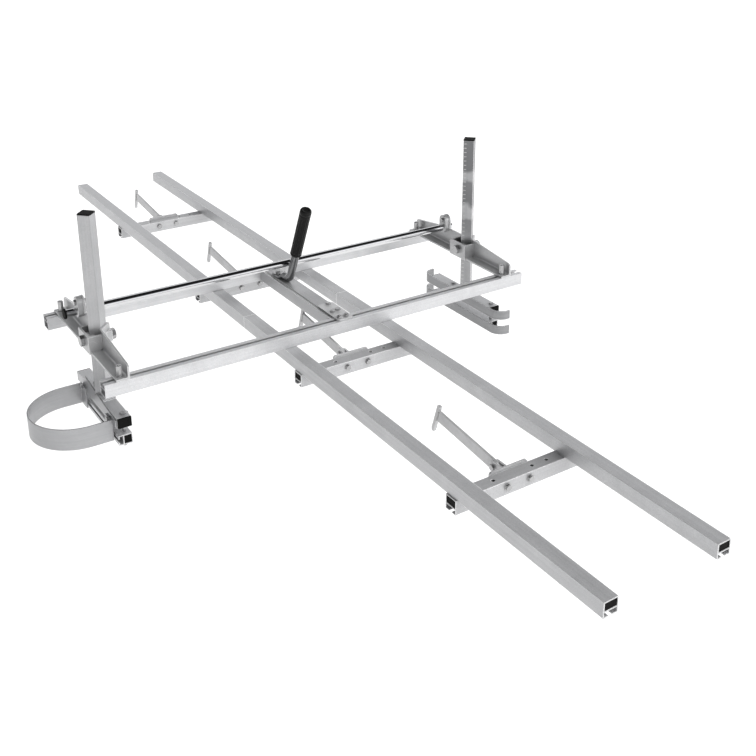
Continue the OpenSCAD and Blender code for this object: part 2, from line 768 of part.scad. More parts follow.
// Collar that carries the cross bar on the bracket's ear
module bar_collar(flange_x) {
    color("dimgray") translate([flange_x, 0, bracket_z]) difference() {
        along_x(-collar_t, 0) {
            translate([bar_y, bar_h]) circle(collar_w / 2);
            translate([bar_y - collar_w / 2, bar_h]) square([collar_w, ear_bolt_h - bar_h]);
            translate([bar_y, ear_bolt_h]) circle(collar_w / 2);
        }
        translate([-collar_t - 1, bar_y, bar_h]) rotate([0, 90, 0])
            cylinder(h = collar_t + 2, r = bar_d / 2 + run_clear);
        translate([-collar_t - 1, bar_y, ear_bolt_h]) rotate([0, 90, 0])
            cylinder(h = collar_t + 2, r = hole_r);
    }
}

// Strap round the post's outer side
module post_strap(flange_x) {
    inner = strap_half - strap_t;
    color("dimgray") translate([flange_x, post_y, bracket_z]) difference() {
        union() {
            translate([strap_x, -strap_half, 0]) cube([strap_t, 2 * strap_half, strap_h]);
            for (side = [-1, 1])
                translate([-base_w - 1, side * (strap_half - strap_t / 2) - strap_t / 2, flange_t])
                    cube([base_w + 1, strap_t, strap_h - flange_t]);
        }
        translate([-base_w - 0.01, -inner, -1]) cube([base_w + 2, 2 * inner, strap_h + 2]);
        for (side = [-1, 1])
            translate([-bend_r - 0.1, side * strap_half - bend_r, 0])
                cube([bend_r + 1, 2 * bend_r, flange_t + bend_r]);
        translate([strap_x - 1, 0, screw_h]) rotate([0, 90, 0])
            cylinder(h = strap_t + 2, r = screw_d / 2 + run_clear);
    }
}

// The two screws that lock the post: one pushes the pad, one pushes through the seat
module post_screws(flange_x) {
    pad_x = post_dx - half_diagonal - seat_gap * sqrt(2) - pad_back - 4;
    color("gainsboro") translate([flange_x, post_y, bracket_z + screw_h]) {
        translate([strap_x - screw_head_h, 0, 0]) rotate([0, 90, 0])
            hex_head(screw_af, screw_head_h);
        translate([strap_x - 1, 0, 0]) rotate([0, 90, 0])
            cylinder(h = pad_x - strap_x + 1, d = screw_d);
        translate([seat_boss_x, 0, 0]) rotate([0, 90, 0]) hex_head(screw_af, screw_head_h);
        difference() {
            translate([half_diagonal, 0, 0]) rotate([0, 90, 0])
                cylinder(h = seat_boss_x - half_diagonal + 1, d = screw_d);
            translate([0, -post_y, -screw_h]) linear_extrude(2 * screw_h)
                post_plan(seat_gap);
        }
    }
}

// Pad with a V that bears on the post's corner
module post_pad(flange_x) {
    corner = post_dx - half_diagonal - seat_gap * sqrt(2);
    back = corner - pad_back - 4;
    tip = corner + pad_reach;
    color("gray") translate([flange_x, post_y, bracket_z + screw_h - pad_h / 2])
        linear_extrude(pad_h) polygon([[back, -pad_half], [tip, -pad_half],
            [tip, -pad_reach], [corner, 0], [tip, pad_reach], [tip, pad_half],
            [back, pad_half]]);
}

// Bolts of a bracket: two in the mill rails' slots with long nuts, one through the collar
module bracket_bolts(flange_x) {
    low = mill_top - rail_wall - slide_gap;
    high = bracket_z + flange_t;
    color("gainsboro") translate([flange_x, 0, 0]) {
        for (side = [-1, 1]) translate([base_bolt_x, side * rail_line, 0]) {
            translate([0, 0, low]) mirror([0, 0, 1])
                hex_bolt(high - low + washer_t + long_nut_h + 1);
            translate([0, 0, high]) washer();
            translate([0, 0, high + washer_t]) hex_nut(bolt_af, long_nut_h, nut_bore_r);
        }
        translate([-collar_t, bar_y, bracket_z + ear_bolt_h]) rotate([0, -90, 0])
            hex_bolt(collar_t + flange_t + nut_h + 2);
        translate([flange_t, bar_y, bracket_z + ear_bolt_h]) rotate([0, 90, 0])
            hex_nut(bolt_af, nut_h, nut_bore_r);
    }
}

// Polished bar across the frame, through the ears of both brackets
module cross_bar() {
    stop = right_x + bar_past;
    color("gainsboro") translate([stop - bar_len, bar_y, bracket_z + bar_h])
        rotate([0, 90, 0]) cylinder(h = bar_len, d = bar_d, $fn = 64);
}

module cross_bar_cap() {
    start = right_x + bar_past - bar_len;
    color("black") translate([start - bar_cap_t, bar_y, bracket_z + bar_h])
        rotate([0, 90, 0]) rotate_extrude() {
            square([bar_cap_d / 2 - 1, bar_cap_t]);
            translate([0, 1]) square([bar_cap_d / 2, bar_cap_t - 1]);
            translate([bar_cap_d / 2 - 1, 1]) circle(1);
        }
}

// Square post, turned to stand on its corners
module post(side, foot_z) {
    color("silver") translate([post_x[side], post_y, foot_z + foot_t]) rotate([0, 0, 45])
        difference() {
            translate([0, -post_side / 2, 0]) linear_extrude(post_len)
                rounded_rect(post_side, post_side, 1.5);
            translate([-post_side / 2 + post_wall, -post_side / 2 + post_wall, -1])
                cube([post_side - 2 * post_wall, post_side - 2 * post_wall, post_len + 2]);
        }
}

// Black caps on the post's top and the clamp tube's two ends
module end_caps(side, foot_z) {
    inner = post_side - 2 * post_wall - 2 * plug_fit;
    plug_w = clamp_w - 2 * clamp_wall - 2 * plug_fit;
    plug_h = clamp_h - 2 * clamp_wall - 2 * plug_fit;
    color("black") {
        translate([post_x[side], post_y, foot_z + foot_t + post_len]) rotate([0, 0, 45]) {
            translate([0, -post_side / 2, 0]) linear_extrude(cap_t)
                rounded_rect(post_side, post_side, 2);
            translate([-inner / 2, -inner / 2, -plug_len]) cube([inner, inner, plug_len + 1]);
        }
        translate([post_x[side], 0, foot_z - clamp_h]) {
            along_y(clamp_front_y - cap_t, clamp_front_y) rounded_rect(clamp_w, clamp_h, 2);
            along_y(clamp_front_y - 1, clamp_front_y + front_bolt_in / 2)
                translate([-plug_w / 2, (clamp_h - plug_h) / 2]) square([plug_w, plug_h]);
            along_y(clamp_rear_y, clamp_rear_y + cap_t) rounded_rect(clamp_w, clamp_h, 2);
            along_y(clamp_rear_y - plug_len, clamp_rear_y + 1)
                translate([-plug_w / 2, (clamp_h - plug_h) / 2]) square([plug_w, plug_h]);
        }
    }
}

// Upper tube of a clamp, with the foot plate that the post stands on
module clamp_tube(side, foot_z, guard_holes) {
    color("silver") translate([post_x[side], 0, foot_z]) difference() {
        union() {
            translate([0, 0, -clamp_h]) along_y(clamp_front_y, clamp_rear_y) difference() {
                rounded_rect(clamp_w, clamp_h, 1.5);
                translate([-clamp_w / 2 + clamp_wall, clamp_wall])
                    square([clamp_w - 2 * clamp_wall, clamp_h - 2 * clamp_wall]);
            }
            translate([-foot_w / 2, post_y - foot_len / 2, -1])
                cube([foot_w, foot_len, foot_t + 1]);
        }
        translate([-foot_w / 2 + clamp_wall, post_y - foot_len / 2 - 1, -clamp_h + clamp_wall])
            cube([foot_w - 2 * clamp_wall, foot_len + 2, clamp_h - 2 * clamp_wall]);
        for (y = clamp_bolts_y)
            translate([clamp_bolt_dx, y, -clamp_h - 1])
                cylinder(h = clamp_h + foot_t + 2, r = hole_r);
        if (guard_holes)
            for (end = [-1, 1])
                translate([-clamp_w, post_y + end * guard_bolt_dy, guard_bolt_z])
                    rotate([0, 90, 0]) cylinder(h = 2 * clamp_w, r = hole_r);
    }
}

// Long bolts of a clamp, and the two small bolts of the foot plate
module clamp_bolts(side, foot_z) {
    color("gainsboro") translate([post_x[side], 0, foot_z]) for (y = clamp_bolts_y)
        translate([clamp_bolt_dx, y, 0]) hex_bolt(clamp_h + jaw_drop + nut_h + bolt_past);
}

// Lower jaw of a clamp: an extrusion with its T-slot turned outwards
module clamp_jaw(side, foot_z) {
    color("silver") translate([post_x[side], 0, foot_z - jaw_drop]) difference() {
        along_y(clamp_front_y, clamp_rear_y) translate([clamp_w / 2, -clamp_h / 2])
            rotate([0, 0, 90])
                slot_profile(clamp_h, clamp_w, jaw_slot_depth, jaw_slot_mouth, jaw_wall);
        for (y = clamp_bolts_y)
            translate([clamp_bolt_dx, y, -clamp_h - 1])
                cylinder(h = clamp_h + 2, r = bolt_r + run_clear);
    }
}

module jaw_nuts(side, foot_z) {
    color("gainsboro") translate([post_x[side], 0, foot_z - jaw_drop - clamp_h - nut_h])
        for (y = clamp_bolts_y)
            translate([clamp_bolt_dx, y, 0]) hex_nut(bolt_af, nut_h, nut_bore_r);
}

// Band round the nose of the saw's guide bar
module nose_guard() {
    leg = guard_out - guard_plate_t;
    color("silver") translate([post_x[0], post_y, left_foot_z - guard_drop - guard_h])
        difference() {
            linear_extrude(guard_h) {
                translate([guard_centre_x, 0]) difference() {
                    circle(guard_r, $fn = 96);
                    circle(guard_r - guard_t, $fn = 96);
                    translate([0, -2 * guard_r]) square([2 * guard_r, 4 * guard_r]);
                }
                for (end = [-1, 1]) {
                    translate([guard_centre_x, end * (guard_r - guard_t / 2) - guard_t / 2])
                        square([leg, guard_t]);
                    translate([guard_face_x - guard_t,
                        end * (guard_r - guard_tab / 2) - guard_tab / 2])
                        square([guard_t, guard_tab]);
                }
            }
            for (end = [-1, 1])
                translate([guard_face_x - guard_t - 1, end * guard_bolt_dy,
                    guard_h + guard_drop + guard_bolt_z])
                    rotate([0, 90, 0]) cylinder(h = guard_t + 2, r = hole_r);
        }
}

// Plate behind the guard, with its top edge rising towards the rear
module guard_plate() {
    front = -guard_r - 20;
    rear = guard_bolt_dy - 12;
    low = -clamp_h;
    color("gainsboro") translate([post_x[0], 0, left_foot_z]) difference() {
        translate([0, post_y, 0]) along_x(guard_face_x, -clamp_w / 2)
            polygon([[front, low], [front, -6], [rear - 8, guard_plate_rise],
                [rear, guard_plate_rise], [rear + 24, low + 8], [rear + 24, low]]);
        for (end = [-1, 1])
            translate([-clamp_w, post_y + end * guard_bolt_dy, guard_bolt_z])
                rotate([0, 90, 0]) cylinder(h = clamp_w, r = hole_r);
        translate([-post_dx, 0, -1]) linear_extrude(100) post_plan(seat_gap);
    }
}

module guard_bolts() {
    stack = guard_t + guard_plate_t + clamp_w;
    color("gainsboro") for (end = [-1, 1])
        translate([post_x[0], post_y + end * guard_bolt_dy, left_foot_z + guard_bolt_z]) {
            translate([guard_face_x - guard_t, 0, 0]) rotate([0, -90, 0])
                hex_bolt(stack + nut_h + 1);
            translate([clamp_w / 2, 0, 0]) rotate([0, 90, 0])
                hex_nut(bolt_af, nut_h, nut_bore_r);
        }
}

// Flat bar on a clamp's outer face, with both ends curved round in front and behind
module bumper(top_z) {
    face = -clamp_w / 2;
    near = clamp_front_y - bumper_past;
    far = clamp_rear_y + bumper_past;
    turn = bumper_r - bumper_t;
    color("lightgray") translate([post_x[1], 0, top_z - clamp_h]) linear_extrude(clamp_h) {
        translate([face - bumper_t, near]) square([bumper_t, far - near]);
        for (end = [[near, -1], [far, 1]]) {
            translate([face + turn, end[0]]) difference() {
                circle(bumper_r);
                circle(turn);
                translate([0, -2 * bumper_r]) square([2 * bumper_r, 4 * bumper_r]);
                translate([-2 * bumper_r, end[1] > 0 ? -2 * bumper_r : 0])
                    square([4 * bumper_r, 2 * bumper_r]);
            }
            translate([face + turn, end[0] + end[1] * (bumper_r - bumper_t / 2)])
                translate([0, -bumper_t / 2]) square([bumper_tip, bumper_t]);
        }
    }
}

guide_rail(-1, -1);  // guide_rail_left_near
guide_rail(-1, 1);  // guide_rail_left_far
guide_rail(1, -1);  // guide_rail_right_near
guide_rail(1, 1);  // guide_rail_right_far
splice_bars();
splice_screws();
crossbar(0);  // crossbar_1
crossbar(1);  // crossbar_2
crossbar(2);  // crossbar_3
crossbar(3);  // crossbar_4
crossbar_bolts();
dog_base(0);  // dog_base_1
dog_base(1);  // dog_base_2
dog_base(2);  // dog_base_3
dog_base(3);  // dog_base_4
dog_base_bolts();
dog_pivots();
dog_arm(0);  // dog_arm_1
dog_arm(1);  // dog_arm_2
dog_arm(2);  // dog_arm_3
dog_arm(3);  // dog_arm_4
mill_rail(-1);  // mill_rail_front
mill_rail(1);  // mill_rail_rear
centre_beam();
beam_plate();
beam_cleat();
carriage_bolts();
handle_tube();
handle_grip();
bracket(left_x);  // bracket_left
bar_collar(left_x);  // bar_collar_left
post_strap(left_x);  // post_strap_left
post_screws(left_x);  // post_screws_left
post_pad(left_x);  // post_pad_left
bracket_bolts(left_x);  // bracket_bolts_left
bracket(right_x);  // bracket_right
bar_collar(right_x);  // bar_collar_right
post_strap(right_x);  // post_strap_right
post_screws(right_x);  // post_screws_right
post_pad(right_x);  // post_pad_right
bracket_bolts(right_x);  // bracket_bolts_right
cross_bar();
cross_bar_cap();
post(0, left_foot_z);  // post_left
end_caps(0, left_foot_z);  // end_caps_left
clamp_tube(0, left_foot_z, true);  // clamp_tube_left
clamp_bolts(0, left_foot_z);  // clamp_bolts_left
nose_guard();
guard_plate();
guard_bolts();
clamp_jaw(0, left_foot_z);  // clamp_jaw_left
jaw_nuts(0, left_foot_z);  // jaw_nuts_left
post(1, right_foot_z);  // post_right
end_caps(1, right_foot_z);  // end_caps_right
clamp_tube(1, right_foot_z, false);  // clamp_tube_right
clamp_bolts(1, right_foot_z);  // clamp_bolts_right
bumper(right_foot_z);  // bumper_upper
clamp_jaw(1, right_foot_z);  // clamp_jaw_right
bumper(right_foot_z - jaw_drop);  // bumper_lower
jaw_nuts(1, right_foot_z);  // jaw_nuts_right
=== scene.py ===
# Chainsaw mill on a two-rail guide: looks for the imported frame, in metres.
import math
import random

import bmesh
import bpy
from mathutils import Matrix, Vector


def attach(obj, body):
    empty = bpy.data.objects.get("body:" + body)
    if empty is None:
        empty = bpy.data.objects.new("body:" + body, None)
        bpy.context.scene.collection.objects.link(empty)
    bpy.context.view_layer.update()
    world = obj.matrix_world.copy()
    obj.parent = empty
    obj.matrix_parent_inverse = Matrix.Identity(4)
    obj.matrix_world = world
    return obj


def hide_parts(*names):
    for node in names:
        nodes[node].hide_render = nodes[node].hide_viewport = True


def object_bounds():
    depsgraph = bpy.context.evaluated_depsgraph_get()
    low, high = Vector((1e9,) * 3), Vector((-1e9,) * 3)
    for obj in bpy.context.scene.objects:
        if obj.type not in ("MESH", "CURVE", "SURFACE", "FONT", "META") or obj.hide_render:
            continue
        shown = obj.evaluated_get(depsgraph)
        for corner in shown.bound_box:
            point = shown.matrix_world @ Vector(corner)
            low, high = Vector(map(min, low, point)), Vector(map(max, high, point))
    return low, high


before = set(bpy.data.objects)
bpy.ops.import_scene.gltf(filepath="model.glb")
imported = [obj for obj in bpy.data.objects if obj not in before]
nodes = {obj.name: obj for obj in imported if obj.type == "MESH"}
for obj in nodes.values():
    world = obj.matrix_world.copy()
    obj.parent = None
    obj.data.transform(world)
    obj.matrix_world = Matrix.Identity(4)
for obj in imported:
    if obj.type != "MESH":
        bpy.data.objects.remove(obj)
cad_low, cad_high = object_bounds()


# Studio: a plain white floor below the lowest reach of the clamps, one broad soft sun from
# the front and right that no reflection shows, and a sky that is bright near the horizon and
# dark overhead, so that polished steel shows a dark and a bright band.
def feed(tree, node, links):
    """Sets inputs of a node by name, each to a plain value or from a socket."""
    for key, value in links.items():
        if isinstance(value, bpy.types.NodeSocket):
            tree.links.new(value, node.inputs[key])
        else:
            node.inputs[key].default_value = value


def add(tree, kind, links=None, **settings):
    """A new node with its settings and its inputs."""
    node = tree.nodes.new(kind)
    for key, value in settings.items():
        setattr(node, key, value)
    feed(tree, node, links or {})
    return node


def calc(tree, operation, *values):
    """One step of arithmetic on values or sockets."""
    return add(tree, "ShaderNodeMath", dict(enumerate(values)), operation=operation).outputs[0]


def ramp(tree, value, stops):
    """A colour that runs through stops, each a place from 0 to 1 and a colour."""
    node = add(tree, "ShaderNodeValToRGB", {"Fac": value})
    elements = node.color_ramp.elements
    elements[0].position, elements[1].position = stops[0][0], stops[-1][0]
    elements[0].color, elements[1].color = stops[0][1], stops[-1][1]
    for place, colour in stops[1:-1]:
        elements.new(place).color = colour
    return node.outputs["Color"]


def new_material(name):
    """A material, with its tree and its shader."""
    material = bpy.data.materials.new(name)
    material.use_nodes = True
    return material, material.node_tree, material.node_tree.nodes["Principled BSDF"]


def in_scene(name, data):
    """An object made from its data and linked to the scene."""
    made = bpy.data.objects.new(name, data)
    bpy.context.collection.objects.link(made)
    return made


CLAMP_REACH_DOWN, FLOOR_HALF = 0.300, 40
FLOOR_GLOW, FLOOR_SEEN_GLOW = 0.46, 0.20
FLOOR_TONES = [(0.0, (0.44, 0.44, 0.44, 1)), (1.0, (0.46, 0.46, 0.46, 1))]
SUN_FROM, SUN_POWER, SUN_SPREAD = Vector((0.50, -0.95, 1.08)), 5.35, math.radians(70)
SKY_TONES = [(0.28, (1.20, 1.21, 1.23, 1)), (0.64, (0.015, 0.015, 0.016, 1))]
SKY_EVEN, SKY_RIGHT = 0.80, 0.46
WHITE = (1, 1, 1, 1)

floor_z = cad_low.z - CLAMP_REACH_DOWN
floor_mesh = bpy.data.meshes.new("floor")
floor_mesh.from_pydata([(x * FLOOR_HALF, y * FLOOR_HALF, floor_z)
                        for x, y in ((-1, -1), (1, -1), (1, 1), (-1, 1))], [], [(0, 1, 2, 3)])
floor_paint, tree, shader = new_material("studio_floor_paint")
seen_straight = add(tree, "ShaderNodeLightPath").outputs["Is Camera Ray"]
mottle = add(tree, "ShaderNodeTexNoise", {"Scale": 3.0}).outputs["Fac"]
feed(tree, shader, {
    "Base Color": ramp(tree, mottle, FLOOR_TONES), "Roughness": 0.9, "Specular IOR Level": 0.1,
    "Emission Color": WHITE,
    "Emission Strength": calc(tree, "MULTIPLY_ADD", seen_straight, FLOOR_SEEN_GLOW, FLOOR_GLOW)})
floor_mesh.materials.append(floor_paint)
in_scene("studio_floor", floor_mesh)

sun_data = bpy.data.lights.new("studio_sun", "SUN")
sun_data.energy, sun_data.angle = SUN_POWER, SUN_SPREAD
sun = in_scene("studio_sun", sun_data)
sun.rotation_mode = "QUATERNION"
sun.rotation_quaternion = SUN_FROM.to_track_quat("Z", "Y")
sun.visible_glossy = False

world = bpy.data.worlds.new("studio_sky")
bpy.context.scene.world = world
world.use_nodes = True
sky = world.node_tree
sky_place = add(sky, "ShaderNodeTexCoord").outputs["Generated"]
sky_way = add(sky, "ShaderNodeSeparateXYZ", {0: sky_place}).outputs
feed(sky, sky.nodes["Background"], {
    "Color": ramp(sky, sky_way["Z"], SKY_TONES),
    "Strength": calc(sky, "MULTIPLY_ADD", sky_way["X"], SKY_RIGHT, SKY_EVEN)})
backdrop = add(sky, "ShaderNodeBackground", {"Color": WHITE})
sky_or_backdrop = add(sky, "ShaderNodeMixShader", {
    0: add(sky, "ShaderNodeLightPath").outputs["Is Camera Ray"],
    1: sky.nodes["Background"].outputs[0], 2: backdrop.outputs[0]})
feed(sky, sky.nodes["World Output"], {"Surface": sky_or_backdrop.outputs[0]})
bpy.context.scene.view_settings.view_transform = "Standard"


# Camera: the photograph looks down on the near left corner of the mill with a long lens,
# and its frame lies below the lens axis, so the posts stand nearly upright in it.
PICTURE, SENSOR, FOCAL_PX, AXIS_PX = 756, 36.0, 1076.5, (419.2, 226.8)
LOOK_YAW, LOOK_PITCH, LOOK_ROLL = 0.6059, 0.3476, -0.0097
STAND = Vector((-1.2645, -2.4108, 1.2726))

forward = Vector((math.sin(LOOK_YAW) * math.cos(LOOK_PITCH),
                  math.cos(LOOK_YAW) * math.cos(LOOK_PITCH), -math.sin(LOOK_PITCH)))
level = Vector((math.cos(LOOK_YAW), -math.sin(LOOK_YAW), 0))
down = forward.cross(level)
across = level * math.cos(LOOK_ROLL) + down * math.sin(LOOK_ROLL)
up = level * math.sin(LOOK_ROLL) - down * math.cos(LOOK_ROLL)
camera_data = bpy.data.cameras.new("camera")
camera_data.sensor_width = SENSOR
camera_data.lens = FOCAL_PX / PICTURE * SENSOR
camera_data.shift_x = (PICTURE / 2 - AXIS_PX[0]) / PICTURE
camera_data.shift_y = (AXIS_PX[1] - PICTURE / 2) / PICTURE
camera = in_scene("camera", camera_data)
camera.matrix_world = Matrix([(across[i], up[i], -forward[i], STAND[i]) for i in range(3)]
                             + [(0, 0, 0, 1)])
bpy.context.scene.camera = camera


# Guide rails: two square aluminium extrusions in halves, satin anodised, with fine die
# lines along their length, small handling scratches, and bright corners, partly rubbed and
# partly a painted edge highlight. They are bolted down on the crossbars.
def new_tree(name, kind, inputs, outputs):
    """A node group with named inputs (label, kind, value) and outputs (label, kind)."""
    tree = bpy.data.node_groups.new(name, kind)
    for label, socket_kind, value in inputs:
        socket = tree.interface.new_socket(name=label, in_out="INPUT",
                                           socket_type="NodeSocket" + socket_kind)
        if value is not None:
            socket.default_value = value
    for label, socket_kind in outputs:
        tree.interface.new_socket(name=label, in_out="OUTPUT",
                                  socket_type="NodeSocket" + socket_kind)
    return tree, add(tree, "NodeGroupInput").outputs, add(tree, "NodeGroupOutput")


def effect(name, inputs, outputs):
    """An empty shader group."""
    return new_tree(name, "ShaderNodeTree", inputs, outputs)


def noise(tree, place, scale, detail=2.0, roughness=0.5, distortion=0.0):
    return add(tree, "ShaderNodeTexNoise", {
        "Vector": place, "Scale": scale, "Detail": detail, "Roughness": roughness,
        "Distortion": distortion}).outputs


def mix(tree, share, first, second, kind="FLOAT"):
    """Between two values, or colours or vectors, by the second one's share."""
    return add(tree, "ShaderNodeMix", {"Factor": share, "A": first, "B": second},
               data_type=kind).outputs["Result"]


def spread(tree, value, low, high, to_low=0.0, to_high=1.0):
    """A value between low and high, drawn out to run from to_low to to_high."""
    return add(tree, "ShaderNodeMapRange", {
        "Value": value, "From Min": low, "From Max": high, "To Min": to_low,
        "To Max": to_high}).outputs["Result"]


# Fine lines drawn along a profile, from a place that the material has stretched
die_lines, given, result = effect(
    "die_lines", [("Place", "Vector", None), ("Scale", "Float", 500.0)], [("Lines", "Float")])
fine = noise(die_lines, given["Place"], given["Scale"], 3.0, 0.6)["Fac"]
coarse = noise(die_lines, given["Place"], calc(die_lines, "MULTIPLY", given["Scale"], 0.18))
feed(die_lines, result, {"Lines": mix(die_lines, 0.45, fine, coarse["Fac"])})

# Smudges and short thin scratches left by handling
handling, given, result = effect(
    "handling_marks", [("Place", "Vector", None), ("Scale", "Float", 14.0),
                       ("Scratches", "Float", 0.5)], [("Smudge", "Float"), ("Scratch", "Float")])
smudge = noise(handling, given["Place"], given["Scale"], 4.0, 0.55, 0.6)["Fac"]
warped = noise(handling, given["Place"], given["Scale"], 1.0)["Color"]
slanted = add(handling, "ShaderNodeMapping", {
    "Vector": mix(handling, 0.12, given["Place"], warped, "VECTOR"), "Rotation": (0.5, 0.3, 0.8),
    "Scale": (1.0, 0.12, 0.28)})
cells = add(handling, "ShaderNodeTexVoronoi", {
    "Vector": slanted.outputs["Vector"], "Scale": calc(handling, "MULTIPLY", given["Scale"], 9.0),
    "Randomness": 1.0}, feature="DISTANCE_TO_EDGE")
thin = spread(handling, cells.outputs["Distance"], 0.0, 0.012, 1.0, 0.0)
some = calc(handling, "MULTIPLY", thin, spread(handling, smudge, 0.56, 0.66))
feed(handling, result, {"Smudge": smudge,
                        "Scratch": calc(handling, "MULTIPLY", some, given["Scratches"])})

# Corners made bright, partly rubbed and partly a painted edge highlight, where the rounded normal
# leaves the flat one
edge_rub_and_highlight, given, result = effect(
    "edge_rub_and_highlight", [("Width", "Float", 0.001), ("Amount", "Float", 1.0)],
    [("Rub And Highlight", "Float"), ("Rounded", "Vector")])
rounded = add(edge_rub_and_highlight, "ShaderNodeBevel", {"Radius": given["Width"]}, samples=4).outputs[0]
flat = add(edge_rub_and_highlight, "ShaderNodeNewGeometry").outputs["Normal"]
leave = add(edge_rub_and_highlight, "ShaderNodeVectorMath", {0: rounded, 1: flat}, operation="DISTANCE")
edge_mask = spread(edge_rub_and_highlight, leave.outputs["Value"], 0.05, 0.36)
feed(edge_rub_and_highlight, result, {"Rub And Highlight": calc(edge_rub_and_highlight, "MULTIPLY", edge_mask, given["Amount"]),
                        "Rounded": rounded})


def place_effect(tree, group, values):
    return add(tree, "ShaderNodeGroup", values, node_tree=group).outputs


def metal(name, dark, light, edge_wear_and_painted_light, metallic, rough, streak, line_depth=0.00002, edge_amount=1.0,
          edge_width=0.001, scratches=0.5, coat=0.0, speckle=0.0, painted_reflection_bands=None):
    """A metal with lines along one way, smudges, scratches and rubbed edges; the edge colour is
    partly wear and partly a painted edge highlight. streak is how much each axis is stretched
    before the lines are drawn: small along them. The optional last argument gives heights, each
    with its share of a second tint, and that tint: painted reflections in stripes up the piece."""
    material, tree, shader = new_material(name)
    place = add(tree, "ShaderNodeTexCoord").outputs["Object"]
    stretched = add(tree, "ShaderNodeMapping", {"Vector": place, "Scale": streak})
    lines = place_effect(tree, die_lines, {"Place": stretched.outputs["Vector"],
                                           "Scale": 1.0})["Lines"]
    marks = place_effect(tree, handling, {"Place": place, "Scratches": scratches})
    edges = place_effect(tree, edge_rub_and_highlight, {"Width": edge_width, "Amount": edge_amount})
    uneven = mix(tree, 0.4, lines, marks["Smudge"])
    grains = noise(tree, place, 620.0, 2.0, 0.7)["Fac"]
    tone = spread(tree, mix(tree, speckle, uneven, grains), 0.36, 0.64)
    colour = mix(tree, tone, dark, light, "RGBA")
    # Painted reflections: a dark tint in stripes at given heights, for what a polished face mirrors
    if painted_reflection_bands:
        heights, tint = painted_reflection_bands
        height = add(tree, "ShaderNodeSeparateXYZ", {"Vector": place}).outputs["Z"]
        share = ramp(tree, mix(tree, 0.06, height, marks["Smudge"]),
                     [(at, (part, part, part, 1)) for at, part in heights])
        colour = mix(tree, share, colour, tint, "RGBA")
    # Scratches and edges take the edge colour: metal showing through, and at the edges a painted
    # edge highlight too
    bare_and_edge_highlight = calc(tree, "MAXIMUM", edges["Rub And Highlight"], marks["Scratch"])
    bump = add(tree, "ShaderNodeBump", {
        "Height": calc(tree, "SUBTRACT", lines, marks["Scratch"]), "Strength": 0.35,
        "Distance": line_depth, "Normal": edges["Rounded"]})
    feed(tree, shader, {
        "Base Color": mix(tree, bare_and_edge_highlight, colour, edge_wear_and_painted_light, "RGBA"),
        "Roughness": spread(tree, uneven, 0.3, 0.7, rough * 0.85, rough * 1.15),
        "Normal": bump.outputs["Normal"], "Metallic": metallic, "Coat Weight": coat})
    return material


ACROSS, ALONG = 900, 6
SATIN_DARK, SATIN_LIGHT = (0.43, 0.432, 0.44, 1), (0.63, 0.632, 0.64, 1)
# Near-white corner colour: partly rubbed aluminium, partly a painted edge highlight
SATIN_EDGE_WEAR_AND_HIGHLIGHT = (0.97, 0.97, 0.97, 1)


def satin_aluminium(name, streak, shade=1.0, edge_wear_and_painted_light=SATIN_EDGE_WEAR_AND_HIGHLIGHT):
    dark, light = [(*(tone * shade for tone in colour[:3]), 1)
                   for colour in (SATIN_DARK, SATIN_LIGHT)]
    return metal(name, dark, light, edge_wear_and_painted_light, 0.70, 0.40, streak, edge_width=0.0026, speckle=0.45)


def dress(material, slot, *names):
    """Gives CAD nodes their material; the slot is not used."""
    for name in names:
        piece = nodes[name]
        if not piece.material_slots:
            piece.data.materials.append(material)
        for place in piece.material_slots:
            place.material = material


guide_aluminium = satin_aluminium("guide_aluminium", (ACROSS, ALONG, ACROSS))
dress(guide_aluminium, "aluminium", "guide_rail_left_near", "guide_rail_left_far",
      "guide_rail_right_near", "guide_rail_right_far")


# Chamber plugs: black moulded plugs pressed into the square chamber at each open end of
# the guide rails, the crossbars and the lower jaws.
def moulded_plastic(name, dark, light, rough, grain, gloss):
    """Moulded plastic with a fine spark-eroded grain."""
    material, tree, shader = new_material(name)
    place = add(tree, "ShaderNodeTexCoord").outputs["Object"]
    smudge = place_effect(tree, handling, {"Place": place, "Scale": 30.0,
                                           "Scratches": 0.3})["Smudge"]
    bump = add(tree, "ShaderNodeBump", {"Height": noise(tree, place, grain)["Fac"],
                                        "Strength": 0.4, "Distance": 0.0001})
    feed(tree, shader, {
        "Base Color": mix(tree, smudge, dark, light, "RGBA"),
        "Roughness": spread(tree, smudge, 0.3, 0.7, rough * 0.85, rough * 1.2),
        "Normal": bump.outputs["Normal"], "Specular IOR Level": gloss})
    return material


def new_piece(name, mesh, material, body, slot, *replaced):
    """Links a finished mesh as a piece that rides on a body."""
    piece = in_scene(name, mesh)
    if not mesh.materials:
        mesh.materials.append(material)
    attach(piece, body)
    if replaced:
        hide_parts(*replaced)


def mesh_from(shape, name, smooth=None):
    """A mesh from a bmesh, its faces outward, and smooth or flat where that is said."""
    mesh = bpy.data.meshes.new(name)
    bmesh.ops.recalc_face_normals(shape, faces=shape.faces)
    shape.to_mesh(mesh)
    shape.free()
    if smooth is not None:
        for face in mesh.polygons:
            face.use_smooth = smooth
    return mesh


def plug_piece(name, blocks, body):
    """Plugs with bevelled edges, each given by its span along the three axes."""
    shape = bmesh.new()
    for spans in blocks:
        corners = bmesh.ops.create_cube(shape, size=1.0)["verts"]
        for corner in corners:
            corner.co = Vector([min(span) + (share + 0.5) * (max(span) - min(span))
                                for span, share in zip(spans, corner.co)])
        edges = list({edge for corner in corners for edge in corner.link_edges})
        bmesh.ops.bevel(shape, geom=edges, offset=PLUG_BEVEL, segments=2, affect="EDGES")
    new_piece(name, mesh_from(shape, name, smooth=False), black_plastic, body, "black_plastic")


def plug_reach(end, way):
    """The span of a plug along a profile that ends at end and runs from there way."""
    return end + way * PLUG_IN, end + way * (PLUG_IN + PLUG_LEN)


